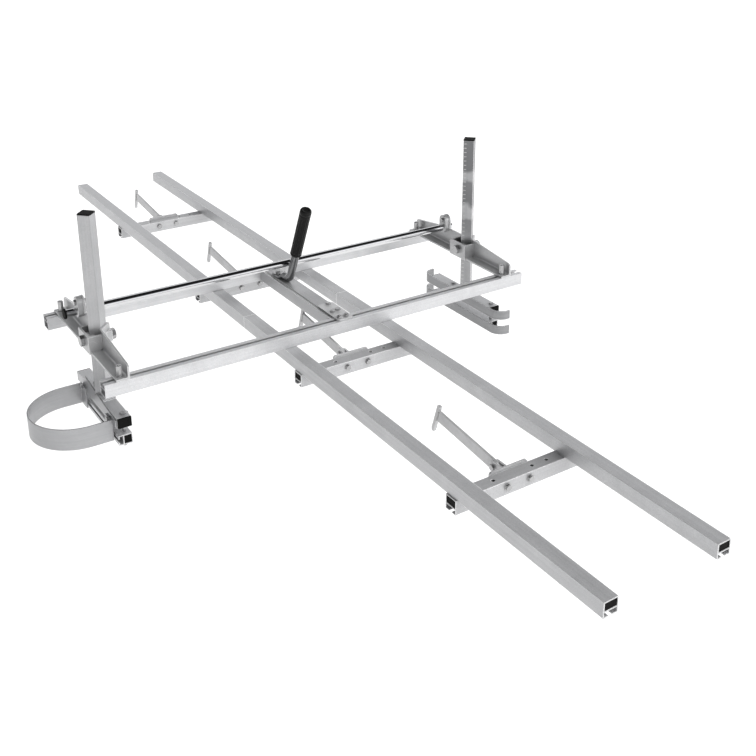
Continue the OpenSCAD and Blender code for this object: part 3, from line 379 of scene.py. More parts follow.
black_plastic = moulded_plastic("black_plastic", (0.002, 0.002, 0.002, 1),
                                (0.006, 0.006, 0.006, 1), 0.6, 1400.0, 0.08)
RAIL_W, RAIL_H, WALL, SLOT_DEEP = 0.0345, 0.0335, 0.002, 0.012
PLUG_LEN, PLUG_IN, PLUG_FIT, PLUG_BEVEL = 0.012, 0.0012, 0.0002, 0.0006
GUIDE_X, GUIDE_END, GUIDE_Z = 0.14225, 1.3716, 0.0335
CROSSBAR_END = 0.1625
CROSSBARS_Y = [-0.940, -0.303, 0.303, 0.940]
chamber_low = SLOT_DEEP + WALL + PLUG_FIT
chamber_high = RAIL_H - WALL - PLUG_FIT
chamber_half = RAIL_W / 2 - WALL - PLUG_FIT
plugs = [((side * GUIDE_X - chamber_half, side * GUIDE_X + chamber_half),
          plug_reach(end * GUIDE_END, -end), (GUIDE_Z + chamber_low, GUIDE_Z + chamber_high))
         for side in (-1, 1) for end in (-1, 1)]
plugs += [(plug_reach(end * CROSSBAR_END, -end), (y - chamber_half, y + chamber_half),
           (chamber_low, chamber_high)) for y in CROSSBARS_Y for end in (-1, 1)]
plug_piece("chamber_plugs", plugs, "guide")


# Crossbars: four short lengths of the same extrusion under the guide rails, slot down,
# with drilled holes for the screws into the log. Splice bars join the rail halves.
crossbar_aluminium = satin_aluminium("crossbar_aluminium", (ALONG, ACROSS, ACROSS), 0.92)
dress(crossbar_aluminium, "aluminium", *["crossbar_%d" % number for number in range(1, 5)])
plain_steel = metal("plain_steel", (0.27, 0.272, 0.28, 1), (0.36, 0.362, 0.37, 1),
                    (0.72, 0.72, 0.73, 1), 0.6, 0.38, (60, 60, 60), edge_amount=0.9)
dress(plain_steel, "bare_steel", "splice_bars")


# Dogs: a pressed steel plate bolted to each crossbar, with two ears for the pivot, and a
# flat steel arm whose leaning head is welded across its end. All are zinc plated.
zinc_steel = metal("zinc_steel", (0.44, 0.44, 0.445, 1), (0.56, 0.56, 0.565, 1),
                   (0.80, 0.80, 0.80, 1), 0.6, 0.36, (80, 80, 80), edge_amount=0.9)
dress(zinc_steel, "zinc_plated", *["dog_%s_%d" % (piece, number)
                                   for piece in ("base", "arm") for number in range(1, 5)])


# Fasteners: zinc-plated hex bolts, nuts and washers with turned chamfers and rolled
# threads. Each set is instanced on points by a small tree and made one mesh for its body.
def geometry_tree(name, inputs):
    """A geometry tree with named inputs, the material last."""
    inputs = [("Geometry", "Geometry", None)] + inputs + [("Material", "Material", None)]
    return new_tree(name, "GeometryNodeTree", inputs, [("Geometry", "Geometry")])


def made_real(tree, given, result, instances):
    """Ends a tree: its instances become real geometry in the given material."""
    real = add(tree, "GeometryNodeRealizeInstances", {"Geometry": instances})
    done = add(tree, "GeometryNodeSetMaterial",
               {"Geometry": real.outputs["Geometry"], "Material": given["Material"]})
    feed(tree, result, {"Geometry": done.outputs["Geometry"]})


def on_points(tree, given, result, template):
    """Places the template on each point, along its axis and turned by its spin."""
    axis = add(tree, "GeometryNodeInputNamedAttribute", {"Name": "axis"},
               data_type="FLOAT_VECTOR")
    spin = add(tree, "GeometryNodeInputNamedAttribute", {"Name": "spin"}, data_type="FLOAT")
    lined = add(tree, "FunctionNodeAlignRotationToVector",
                {"Vector": axis.outputs["Attribute"]}, axis="Z")
    turn = add(tree, "FunctionNodeAxisAngleToRotation",
               {"Axis": (0, 0, 1), "Angle": spin.outputs["Attribute"]})
    turned = add(tree, "FunctionNodeRotateRotation",
                 {"Rotation": lined.outputs["Rotation"], "Rotate By": turn.outputs["Rotation"]},
                 rotation_space="LOCAL")
    placed = add(tree, "GeometryNodeInstanceOnPoints",
                 {"Points": given["Geometry"], "Instance": template,
                  "Rotation": turned.outputs["Rotation"]})
    made_real(tree, given, result, placed.outputs["Instances"])


def times(tree, value, factor):
    return calc(tree, "MULTIPLY", value, factor)


def plus(tree, value, other):
    return calc(tree, "ADD", value, other)


def chosen(tree, index, values):
    """The value that belongs to a whole number, out of a list of values or sockets."""
    chooser = add(tree, "GeometryNodeIndexSwitch", {"Index": index}, data_type="FLOAT")
    while len(chooser.index_switch_items) < len(values):
        chooser.index_switch_items.new()
    feed(tree, chooser, dict(enumerate(values, 1)))
    return chooser.outputs[0]


# A hexagon with turned corners: a sheet rolled round the axis, row by row from the bore up
# the outside and back, its corner rows on the cone that turned them; closed where no bore is
hexagons, given, result = geometry_tree("hexagons", [
    ("Across Flats", "Float", 0.013), ("Height", "Float", 0.0053), ("Bore", "Float", 0.0),
    ("Lower Chamfer", "Float", 0.0)])
has_bore = calc(hexagons, "GREATER_THAN", given["Bore"], 0.0001)
last_row = plus(hexagons, has_bore, 5.0)
sheet = add(hexagons, "GeometryNodeMeshGrid", {
    "Size X": 1.0, "Size Y": 1.0, "Vertices X": 49, "Vertices Y": plus(hexagons, last_row, 1.0)})
on_sheet = add(hexagons, "ShaderNodeSeparateXYZ",
               {"Vector": add(hexagons, "GeometryNodeInputPosition").outputs[0]}).outputs
around = times(hexagons, plus(hexagons, on_sheet["X"], 0.5), 2 * math.pi)
row = calc(hexagons, "ROUND", times(hexagons, plus(hexagons, on_sheet["Y"], 0.5), last_row))
off_flat = plus(hexagons, calc(hexagons, "FLOORED_MODULO", plus(hexagons, around, math.pi / 6),
                               math.pi / 3), -math.pi / 6)
hex_r = calc(hexagons, "DIVIDE", times(hexagons, given["Across Flats"], 0.5),
             calc(hexagons, "COSINE", off_flat))
cone_r = times(hexagons, given["Across Flats"], 0.485)
drop = times(hexagons, calc(hexagons, "SUBTRACT", hex_r, cone_r), math.tan(math.pi / 6))
foot_r = mix(hexagons, given["Lower Chamfer"], hex_r, cone_r)
foot_up = times(hexagons, drop, given["Lower Chamfer"])
shoulder_up = calc(hexagons, "SUBTRACT", given["Height"], drop)
row_r = chosen(hexagons, row, [given["Bore"], foot_r, hex_r, hex_r, cone_r, given["Bore"],
                               given["Bore"]])
row_z = chosen(hexagons, row, [0.0, 0.0, foot_up, shoulder_up, given["Height"],
                               given["Height"], 0.0])
rolled_place = add(hexagons, "ShaderNodeCombineXYZ", {
    "X": times(hexagons, row_r, calc(hexagons, "COSINE", around)),
    "Y": times(hexagons, row_r, calc(hexagons, "SINE", around)), "Z": row_z})
rolled = add(hexagons, "GeometryNodeSetPosition", {"Geometry": sheet.outputs["Mesh"],
                                                   "Position": rolled_place.outputs[0]})
sewn = add(hexagons, "GeometryNodeMergeByDistance", {"Geometry": rolled.outputs["Geometry"],
                                                     "Distance": 0.000002})
on_points(hexagons, given, result, sewn.outputs["Geometry"])

# A round shank: a ring drawn along a line, stepping in and out for the rolled thread
shanks, given, result = geometry_tree("shanks", [
    ("Radius", "Float", 0.004), ("Length", "Float", 0.03), ("Pitch", "Float", 0.00125),
    ("Depth", "Float", 0.0005)])
ends = add(shanks, "ShaderNodeCombineXYZ", {"Z": given["Length"]})
line = add(shanks, "GeometryNodeCurvePrimitiveLine", {"End": ends.outputs[0]})
steps = calc(shanks, "DIVIDE", times(shanks, given["Length"], 2.0), given["Pitch"])
fine_line = add(shanks, "GeometryNodeResampleCurve", {"Curve": line.outputs["Curve"],
                                                      "Count": steps})
odd = calc(shanks, "MODULO", add(shanks, "GeometryNodeInputIndex").outputs[0], 2.0)
radius = calc(shanks, "SUBTRACT", given["Radius"], times(shanks, odd, given["Depth"]))
ring = add(shanks, "GeometryNodeCurvePrimitiveCircle", {"Resolution": 20, "Radius": 1.0})
tube = add(shanks, "GeometryNodeCurveToMesh", {
    "Curve": fine_line.outputs["Curve"], "Profile Curve": ring.outputs["Curve"],
    "Scale": radius, "Fill Caps": True})
on_points(shanks, given, result, tube.outputs["Mesh"])

# A flat washer with a bore
washers, given, result = geometry_tree("washers", [
    ("Radius", "Float", 0.009), ("Bore", "Float", 0.0042), ("Thickness", "Float", 0.0016)])
disc = add(washers, "GeometryNodeMeshCylinder", {
    "Vertices": 40, "Radius": given["Radius"], "Depth": given["Thickness"]})
eye = add(washers, "GeometryNodeMeshCylinder", {
    "Vertices": 32, "Radius": given["Bore"], "Depth": times(washers, given["Thickness"], 3.0)})
punched = add(washers, "GeometryNodeMeshBoolean", {
    "Mesh 1": disc.outputs["Mesh"], "Mesh 2": eye.outputs["Mesh"]}, operation="DIFFERENCE")
seat = add(washers, "ShaderNodeCombineXYZ", {"Z": times(washers, given["Thickness"], 0.5)})
seated = add(washers, "GeometryNodeTransform", {"Geometry": punched.outputs["Mesh"],
                                                "Translation": seat.outputs[0]})
on_points(washers, given, result, seated.outputs["Geometry"])


def run_tree(tree, mesh, values):
    """The finished mesh that a tree makes from a mesh of points or lines."""
    holder = in_scene("start", mesh)
    grow = holder.modifiers.new("grow", "NODES")
    grow.node_group = tree
    sockets = {item.name: item.identifier for item in tree.interface.items_tree
               if item.in_out == "INPUT"}
    for label, value in values.items():
        grow[sockets[label]] = value
    shown = holder.evaluated_get(bpy.context.evaluated_depsgraph_get())
    done = bpy.data.meshes.new_from_object(shown)
    bpy.data.objects.remove(holder)
    return done


def fasteners(tree, spots, values):
    """Fasteners on spots, a list of (place, axis), each turned about its axis by a chance
    that the size and place of its set fix."""
    mesh = bpy.data.meshes.new("spots")
    mesh.from_pydata([place for place, _ in spots], [], [])
    mesh.attributes.new("axis", "FLOAT_VECTOR", "POINT")
    mesh.attributes.new("spin", "FLOAT", "POINT")
    axis, spin = mesh.attributes["axis"], mesh.attributes["spin"]
    turn = random.Random(len(spots) * 7 + int(abs(spots[0][0][0]) * 1000))
    for number, (_, direction) in enumerate(spots):
        axis.data[number].vector = direction
        spin.data[number].value = turn.uniform(0, math.pi / 3)
    return run_tree(tree, mesh, dict(values, Material=bright_zinc))


def joined(meshes, name, material, smooth=None):
    """One mesh from several, in one material."""
    shape = bmesh.new()
    for mesh in meshes:
        shape.from_mesh(mesh)
    for face in shape.faces:
        face.material_index = 0
    whole = mesh_from(shape, name, smooth)
    whole.materials.append(material)
    return whole


bright_zinc = metal("bright_zinc", (0.37, 0.37, 0.375, 1), (0.52, 0.52, 0.52, 1),
                    (0.88, 0.88, 0.88, 1), 0.92, 0.24, (120, 120, 120), edge_amount=0.9,
                    edge_width=0.0005)
BOLT_R, BOLT_AF, HEAD_H, NUT_H = 0.004, 0.013, 0.0053, 0.0065
BOLT_THREAD, SUNK, SNUG = (BOLT_R, 0.00125, 0.0005), 0.001, 0.99
WASHER_R, WASHER_T = 0.009, 0.0016
UP, DOWN = (0, 0, 1), (0, 0, -1)
LEFT, RIGHT = (-1, 0, 0), (1, 0, 0)
FRONT, BACK = (0, -1, 0), (0, 1, 0)


def heads(spots, across=BOLT_AF, height=HEAD_H):
    return fasteners(hexagons, spots, {"Across Flats": across, "Height": height})


def nuts(spots, height=NUT_H):
    """Nuts chamfered on both faces, their bore a shade under the rod so that no gap shows."""
    return fasteners(hexagons, spots, {"Across Flats": BOLT_AF, "Height": height,
                                       "Bore": BOLT_R * SNUG, "Lower Chamfer": 1.0})


def shafts(spots, length, sunk=SUNK, thread=BOLT_THREAD):
    """Rods that start sunk in the heads on these spots and run the other way. thread is
    their radius, pitch and depth."""
    starts = [(tuple(at + way * sunk for at, way in zip(place, axis)),
               tuple(-way for way in axis)) for place, axis in spots]
    radius, pitch, depth = thread
    return fasteners(shanks, starts, {"Radius": radius, "Length": length, "Pitch": pitch,
                                      "Depth": depth})


def flat_washers(spots, radius=WASHER_R):
    return fasteners(washers, spots, {"Radius": radius, "Thickness": WASHER_T})


def fastener_piece(name, meshes, body, replaced):
    mesh = joined(meshes, name, bright_zinc)
    new_piece(name, mesh, bright_zinc, body, "zinc_plated", replaced)


# Dog base bolts and pivots: two bolts through each crossbar, heads and washers in front,
# nuts behind the plate, and one bolt through each dog's ears.
DOG_BOLT_X, DOG_BOLT_Z, DOG_PLATE_T, DOG_SUNK = 0.030, 0.0187, 0.005, 0.0005
DOG_REACH, DOG_PIVOT_Z, PIVOT_HALF = 0.060, 0.0165, 0.0083
BASE_BOLT_SPARE, PIVOT_SPARE = 0.002, 0.0025
rail_half = RAIL_W / 2
front_spots = [((x, y - rail_half, DOG_BOLT_Z), FRONT) for y in CROSSBARS_Y
               for x in (-DOG_BOLT_X, DOG_BOLT_X)]
outer_spots = [((x, y - WASHER_T, z), axis) for (x, y, z), axis in front_spots]
rear_spots = [((x, y + rail_half + DOG_PLATE_T, DOG_BOLT_Z), BACK) for y in CROSSBARS_Y
              for x in (-DOG_BOLT_X, DOG_BOLT_X)]
base_grip = RAIL_W + DOG_PLATE_T + NUT_H + WASHER_T + BASE_BOLT_SPARE
fastener_piece("dog_base_fasteners", [
    flat_washers(front_spots), heads(outer_spots), nuts(rear_spots),
    shafts(outer_spots, base_grip, DOG_SUNK)], "guide", "dog_base_bolts")

pivot_heads, pivot_nuts = [[((end * PIVOT_HALF, y + DOG_REACH, DOG_PIVOT_Z), (end, 0, 0))
                            for y in CROSSBARS_Y] for end in (-1, 1)]
fastener_piece("dog_pivot_bolts", [
    heads(pivot_heads), nuts(pivot_nuts),
    shafts(pivot_heads, 2 * PIVOT_HALF + NUT_H + PIVOT_SPARE, DOG_SUNK)], "guide", "dog_pivots")


# Rail bolts and splice screws: each guide rail is bolted down through the crossbars, head in
# the rail's chamber and nut in the crossbar's slot; short screws hold the splice bars.
SPLICE_Y = [-0.075, -0.025, 0.025, 0.075]
RAIL_BOLT_LEN, SPLICE_SCREW_LEN = 0.0315, 0.0127
rail_bolt_heads = [((side * GUIDE_X, y, GUIDE_Z + WALL), UP) for y in CROSSBARS_Y
                   for side in (-1, 1)]
rail_bolt_nuts = [((x, y, SLOT_DEEP - NUT_H), UP) for (x, y, _), _ in rail_bolt_heads]
fastener_piece("rail_bolts", [
    heads(rail_bolt_heads), nuts(rail_bolt_nuts), shafts(rail_bolt_heads, RAIL_BOLT_LEN, 0.0)],
    "guide", "crossbar_bolts")
splice_heads = [((side * GUIDE_X, y, GUIDE_Z), DOWN) for y in SPLICE_Y for side in (-1, 1)]
fastener_piece("splice_screw_set", [heads(splice_heads), shafts(splice_heads, SPLICE_SCREW_LEN)],
               "guide", "splice_screws")


# Weld beads: rippled fillets of steel laid by hand. The first lie along the joint of each
# dog's head; the brackets' seats and the clamps' foot plates have theirs further on.
beads, given, result = geometry_tree("weld_beads", [
    ("Size", "Float", 0.0016), ("Step", "Float", 0.0011), ("Uneven", "Float", 0.18),
    ("Seed", "Int", 4)])
seam = add(beads, "GeometryNodeMeshToCurve", {"Mesh": given["Geometry"]})
stops = add(beads, "GeometryNodeResampleCurve", {"Curve": seam.outputs["Curve"],
                                                 "Length": given["Step"]}, mode="LENGTH")
along_seam = add(beads, "GeometryNodeInputTangent")
facing = add(beads, "FunctionNodeAlignRotationToVector",
             {"Vector": along_seam.outputs["Tangent"]}, axis="X")
kept = add(beads, "GeometryNodeCaptureAttribute", {"Geometry": stops.outputs["Curve"]})
kept.capture_items.new("ROTATION", "Facing")
feed(beads, kept, {"Facing": facing.outputs["Rotation"]})
stop_points = add(beads, "GeometryNodeCurveToPoints", {"Curve": kept.outputs["Geometry"]},
                  mode="EVALUATED")
sizes = add(beads, "FunctionNodeRandomValue", {
    "Min": calc(beads, "SUBTRACT", 1.0, given["Uneven"]),
    "Max": plus(beads, given["Uneven"], 1.0), "Seed": given["Seed"]}, data_type="FLOAT")
drop = add(beads, "GeometryNodeMeshIcoSphere", {"Radius": given["Size"], "Subdivisions": 2})
laid = add(beads, "GeometryNodeInstanceOnPoints", {
    "Points": stop_points.outputs["Points"], "Instance": drop.outputs["Mesh"],
    "Rotation": kept.outputs["Facing"], "Scale": sizes.outputs["Value"]})
made_real(beads, given, result, laid.outputs["Instances"])


def weld_piece(name, seams, body):
    """Beads along seams, each a list of points."""
    points, edges = [], []
    for seam_line in seams:
        start = len(points)
        points += seam_line
        edges += [(start + i, start + i + 1) for i in range(len(seam_line) - 1)]
    mesh = bpy.data.meshes.new("seams")
    mesh.from_pydata(points, edges, [])
    made = run_tree(beads, mesh, {"Size": BEAD, "Step": BEAD * 0.7, "Material": weld_steel})
    new_piece(name, joined([made], name, weld_steel, smooth=True), weld_steel, body,
              "zinc_plated")


weld_steel = metal("weld_steel", (0.30, 0.30, 0.30, 1), (0.42, 0.42, 0.415, 1),
                   (0.6, 0.6, 0.6, 1), 0.85, 0.34, (200, 200, 200), edge_amount=0.3)
BEAD, BEAD_OUT, BEAD_ASIDE, SEAM_SHARE = 0.0016, 0.0004, 0.0003, 0.92
DOG_ARM_LEN, DOG_TILT, DOG_LEAN = 0.215, math.radians(6), math.radians(18)
DOG_BAR_H, DOG_BAR_T, DOG_HEAD_W = 0.027, 0.006, 0.009
along = Vector((0, -math.sin(DOG_LEAN), math.cos(DOG_LEAN)))
inward = Vector((0, -math.cos(DOG_LEAN), -math.sin(DOG_LEAN))) * (DOG_HEAD_W / 2 + BEAD_OUT)
reach = DOG_BAR_H / 2 * SEAM_SHARE
for number, y in enumerate(CROSSBARS_Y, 1):
    end = Vector((0, y + DOG_REACH + DOG_ARM_LEN * math.cos(DOG_TILT),
                  DOG_PIVOT_Z + DOG_ARM_LEN * math.sin(DOG_TILT)))
    weld_piece("dog_weld_%d" % number, [
        [end + inward + Vector((side * (DOG_BAR_T / 2 + BEAD_ASIDE), 0, 0)) + along * t
         for t in (-reach, 0, reach)] for side in (-1, 1)], "dog_%d" % number)


# Mill frame: two more lengths of the extrusion, slot up, joined by a wider centre beam that
# runs between them. A plate on top and a cleat in the corner hold the joints.
# Same extrusion as the guide rails, painted lighter for the light on their front faces, with a
# dimmer painted edge highlight
mill_aluminium_painted_lighter = satin_aluminium("mill_aluminium_painted_lighter", (ALONG, ACROSS, ACROSS), 1.14,
                                 edge_wear_and_painted_light=(0.66, 0.66, 0.665, 1))
dress(mill_aluminium_painted_lighter, "aluminium", "mill_rail_front", "mill_rail_rear")
beam_aluminium = satin_aluminium("beam_aluminium", (ACROSS, ALONG, ACROSS), 0.88)
dress(beam_aluminium, "aluminium", "centre_beam")
plate_steel = metal("plate_steel", (0.46, 0.46, 0.465, 1), (0.56, 0.56, 0.565, 1),
                    (0.85, 0.85, 0.85, 1), 0.6, 0.34, (300, 40, 300), edge_amount=0.9)
dress(plate_steel, "zinc_plated", "beam_plate", "beam_cleat")

FRAME_TOP, RAIL_LINE, PLATE_T, EYE_T, HEAD_GAP = 0.1008, 0.21575, 0.004, 0.006, 0.0003
HANDLE_X, HANDLE_BOLT_Y, HANDLE_WASHER_R = 0.016, 0.138, 0.014
RAIL_BOLTS = [(0.0085, -RAIL_LINE), (0.0285, -RAIL_LINE)]
PLATE_BOLTS = [(0.0125, -0.1745), (0.0295, -0.1715), (0.0275, -0.126)]
CLEAT_X, CLEAT_Y, CLEAT_Z, CLEAT_NUT_X = 0.0455, 0.1845, 0.08405, 0.033
REAR_X, REAR_Y, REAR_Z, REAR_NUT_Y = 0.0595, 0.1945, 0.07735, 0.233
RAIL_ROD, PLATE_ROD, HANDLE_ROD, REAR_ROD, CLEAT_ROD = 0.0158, 0.0145, 0.0165, 0.048, 0.0145
slot_head_z = FRAME_TOP - WALL - HEAD_GAP
plate_top = FRAME_TOP + PLATE_T
eye_top = FRAME_TOP + EYE_T
plate_heads = [((x, y, plate_top), UP) for x, y in PLATE_BOLTS]
rail_heads = [((x, y, slot_head_z), DOWN) for x, y in RAIL_BOLTS]
eye_spot = ((HANDLE_X, HANDLE_BOLT_Y, eye_top), UP)
handle_head = ((HANDLE_X, HANDLE_BOLT_Y, eye_top + WASHER_T), UP)
cleat_head = ((CLEAT_X, CLEAT_Y, CLEAT_Z), RIGHT)
rear_head = ((REAR_X, REAR_Y, REAR_Z), FRONT)
frame_nuts = [((x, y, plate_top), UP) for x, y in RAIL_BOLTS]
frame_nuts += [((x, y, FRAME_TOP - WALL - NUT_H), UP)
               for x, y in PLATE_BOLTS + [(HANDLE_X, HANDLE_BOLT_Y)]]
frame_nuts += [((REAR_X, REAR_NUT_Y, REAR_Z), BACK), ((CLEAT_NUT_X, CLEAT_Y, CLEAT_Z), RIGHT)]
fastener_piece("frame_fasteners", [
    heads(plate_heads + rail_heads + [handle_head, cleat_head, rear_head]), nuts(frame_nuts),
    shafts(rail_heads, RAIL_ROD), shafts(plate_heads, PLATE_ROD), shafts([eye_spot], HANDLE_ROD),
    shafts([rear_head], REAR_ROD), shafts([cleat_head], CLEAT_ROD),
    flat_washers([eye_spot], HANDLE_WASHER_R)], "carriage", "carriage_bolts")


# Push handle: a round steel tube, dark and glossy, flattened into an eye that is bolted on
# the beam, bent up and leaning to the front, with a fluted rubber grip pushed on its end.
def rounded_ring(centre, normal_side, half_w, half_h, power=2):
    """A closed ring of points in the plane of X and normal_side, between flat and round."""
    points = []
    for step in range(RING):
        angle = 2 * math.pi * step / RING
        c, s = math.cos(angle), math.sin(angle)
        points.append(centre + Vector((half_w * math.copysign(abs(c) ** (2 / power), c), 0, 0))
                      + normal_side * (half_h * math.copysign(abs(s) ** (2 / power), s)))
    return points


def lofted(rings, name):
    """A closed skin over rings of equal count, with its two ends filled."""
    count, last = len(rings[0]), len(rings) - 1
    faces = [(r * count + i, r * count + (i + 1) % count, (r + 1) * count + (i + 1) % count,
              (r + 1) * count + i) for r in range(last) for i in range(count)]
    faces += [tuple(range(count))[::-1], tuple(range(last * count, (last + 1) * count))]
    mesh = bpy.data.meshes.new(name)
    mesh.from_pydata([point for ring_points in rings for point in ring_points], [], faces)
    shape = bmesh.new()
    shape.from_mesh(mesh)
    return mesh_from(shape, name, smooth=True)


handle_steel = metal("handle_steel", (0.16, 0.162, 0.165, 1), (0.24, 0.242, 0.246, 1),
                     (0.5, 0.5, 0.5, 1), 0.9, 0.22, (60, 60, 60), edge_amount=0.4, coat=0.3)
TUBE_R, EYE_HALF, EYE_NOSE, BEND_R, HANDLE_LEAN = 0.011, 0.017, 0.0015, 0.028, math.radians(24.4)
BEND_Y, NECK_FROM, NECK_TO, RING = 0.067, 0.113, 0.097, 40
EYE_STEPS, NECK_STEPS, BEND_STEPS = 10, 12, 16
EYE_SQUARE, ROUND = 5, 2
GRIP_START, GRIP_LEN, GRIP_R = 0.096, 0.162, 0.016
TUBE_ROWS = (0.050, GRIP_START, 0.134)
axis_z = FRAME_TOP + TUBE_R
bend_turn = math.pi / 2 - HANDLE_LEAN
bend_trim = BEND_R * math.tan(bend_turn / 2)
vertical = Vector(UP)
rings = []
for step in range(EYE_STEPS + 1):
    turn = math.pi / 2 * step / EYE_STEPS
    centre = Vector((HANDLE_X, HANDLE_BOLT_Y + EYE_HALF * math.cos(turn), FRAME_TOP + EYE_T / 2))
    rings.append(rounded_ring(centre, vertical, max(EYE_HALF * math.sin(turn), EYE_NOSE),
                              EYE_T / 2, EYE_SQUARE))
for step in range(NECK_STEPS + 1):
    t = step / NECK_STEPS
    ease = t * t * (3 - 2 * t)
    half_h = EYE_T / 2 + (TUBE_R - EYE_T / 2) * ease
    centre = Vector((HANDLE_X, NECK_FROM + (NECK_TO - NECK_FROM) * t, FRAME_TOP + half_h))
    rings.append(rounded_ring(centre, vertical, EYE_HALF + (TUBE_R - EYE_HALF) * ease, half_h,
                              EYE_SQUARE + (ROUND - EYE_SQUARE) * ease))
for step in range(BEND_STEPS + 1):
    turn = bend_turn * step / BEND_STEPS
    centre = Vector((HANDLE_X, BEND_Y + bend_trim - BEND_R * math.sin(turn),
                     axis_z + BEND_R - BEND_R * math.cos(turn)))
    side_way = Vector((0, math.sin(turn), math.cos(turn)))
    rings.append(rounded_ring(centre, side_way, TUBE_R, TUBE_R))
lean_way = Vector((0, -math.sin(HANDLE_LEAN), math.cos(HANDLE_LEAN)))
lean_side = Vector((0, math.cos(HANDLE_LEAN), math.sin(HANDLE_LEAN)))
vertex = Vector((HANDLE_X, BEND_Y, axis_z))
for reach in TUBE_ROWS:
    rings.append(rounded_ring(vertex + lean_way * reach, lean_side, TUBE_R, TUBE_R))
new_piece("handle_bent_tube", lofted(rings, "handle_bent_tube"), handle_steel, "carriage",
          "bare_steel", "handle_tube")

grip_rubber = moulded_plastic("grip_rubber", (0.003, 0.003, 0.003, 1),
                              (0.008, 0.008, 0.008, 1), 0.34, 900.0, 0.2)
FLUTES, FLUTE_DEEP, FLUTE_FROM, FLUTE_TO, FLUTE_END = 12, 0.0016, 0.014, 0.142, 0.004
GRIP_RING, FLUTE_ROWS = 144, 20
# Rows along the grip, each a place and a share of its radius: collar, flutes, rolled end
grip_rows = [(0.0, 0.86), (0.0005, 0.93), (0.002, 1.0), (0.008, 1.0), (0.0085, 0.94),
             (0.0105, 0.94), (0.011, 0.99), (FLUTE_FROM, 0.99)]
grip_rows += [(FLUTE_FROM + (FLUTE_TO - FLUTE_FROM) * step / FLUTE_ROWS, 0.985)
              for step in range(1, FLUTE_ROWS)]
grip_rows += [(FLUTE_TO, 0.99), (0.146, 0.99), (0.1465, 0.95), (0.1485, 0.95), (0.149, 1.0),
              (0.155, 1.0), (0.159, 0.94), (0.1612, 0.84), (GRIP_LEN, 0.72), (0.1616, 0.62),
              (0.1604, 0.56), (0.1600, 0.30), (0.1600, 0.02)]
rings = []
for reach, share in grip_rows:
    fade = (min(1, max(0, (reach - FLUTE_FROM) / FLUTE_END))
            * min(1, max(0, (FLUTE_TO - reach) / FLUTE_END)))
    points = []
    for step in range(GRIP_RING):
        angle = 2 * math.pi * step / GRIP_RING
        flute = max(0.0, math.cos(FLUTES * angle)) ** 0.7 * FLUTE_DEEP * fade
        out = GRIP_R * share - flute
        points.append(vertex + lean_way * (GRIP_START + reach)
                      + Vector(RIGHT) * (out * math.cos(angle))
                      + lean_side * (out * math.sin(angle)))
    rings.append(points)
new_piece("handle_fluted_grip", lofted(rings, "handle_fluted_grip"), grip_rubber, "carriage",
          "grip_rubber", "handle_grip")


# End brackets: bent steel angles across both mill rails, each with a V seat for its post
# and an ear that carries the cross bar in a collar. They are bead blasted and plated.
# Near-white corners: partly wear and partly a painted edge highlight
bracket_steel = metal("bracket_steel", (0.44, 0.442, 0.446, 1), (0.56, 0.562, 0.566, 1),
                      (0.96, 0.96, 0.96, 1), 0.72, 0.36, (70, 70, 70), edge_width=0.0018,
                      speckle=0.3)
BRACKET_Z, BASE_BOLT_X, FLANGE_T, LONG_NUT_H = 0.1011, 0.014, 0.005, 0.026
POST_Y, BAR_Y, EAR_BOLT_Z, COLLAR_T = -0.028, 0.075, 0.1816, 0.014
SCREW_Z, SCREW_AF, SCREW_HEAD_H, SCREW_THREAD = 0.1251, 0.024, 0.010, (0.008, 0.002, 0.0008)
STRAP_OUT, BOSS_OUT, SEAT_SIDE, SEAT_SPAN = 0.033, 0.03395, 0.02795, (0.002, 0.052)
BASE_ROD, EAR_ROD, STRAP_ROD, BOSS_ROD = 0.0372, 0.0285, 0.0081, 0.0084
base_top = BRACKET_Z + FLANGE_T
for side, flange_x in (("left", -0.560), ("right", 0.557)):
    dress(bracket_steel, "bare_steel", *[piece + side for piece in (
        "bracket_", "bar_collar_", "post_strap_", "post_pad_")])
    base_bolts = [(flange_x - BASE_BOLT_X, end * RAIL_LINE) for end in (-1, 1)]
    base_heads = [((x, y, slot_head_z), DOWN) for x, y in base_bolts]
    ear_head = ((flange_x - COLLAR_T, BAR_Y, EAR_BOLT_Z), LEFT)
    fastener_piece("bracket_fasteners_" + side, [
        heads(base_heads + [ear_head]),
        flat_washers([((x, y, base_top), UP) for x, y in base_bolts]),
        nuts([((x, y, base_top + WASHER_T), UP) for x, y in base_bolts], LONG_NUT_H),
        nuts([((flange_x + FLANGE_T, BAR_Y, EAR_BOLT_Z), RIGHT)]),
        shafts(base_heads, BASE_ROD), shafts([ear_head], EAR_ROD)],
        side + "_bracket", "bracket_bolts_" + side)
    strap_head = ((flange_x - STRAP_OUT, POST_Y, SCREW_Z), LEFT)
    boss_head = ((flange_x + BOSS_OUT, POST_Y, SCREW_Z), RIGHT)
    fastener_piece("post_screw_pair_" + side, [
        heads([strap_head, boss_head], SCREW_AF, SCREW_HEAD_H),
        shafts([strap_head], STRAP_ROD, thread=SCREW_THREAD),
        shafts([boss_head], BOSS_ROD, thread=SCREW_THREAD)],
        side + "_bracket", "post_screws_" + side)
    weld_piece("seat_welds_" + side, [
        [(flange_x + FLANGE_T + BEAD_OUT, POST_Y + end * (SEAT_SIDE + BEAD_OUT), BRACKET_Z + up_by)
         for up_by in SEAT_SPAN] for end in (-1, 1)], side + "_bracket")


# Cross bar: a round steel bar, ground and polished, that joins the two brackets and runs
# through their collars. A black plastic cap is pushed on its left end.
polished = metal("polished_steel", (0.74, 0.74, 0.75, 1), (0.80, 0.80, 0.81, 1),
                 (0.9, 0.9, 0.9, 1), 1.0, 0.07, (900, 900, 900), line_depth=0.000003,
                 edge_amount=0.2, scratches=0.2)
dress(polished, "polished_bar", "cross_bar")
dress(black_plastic, "black_plastic", "cross_bar_cap")
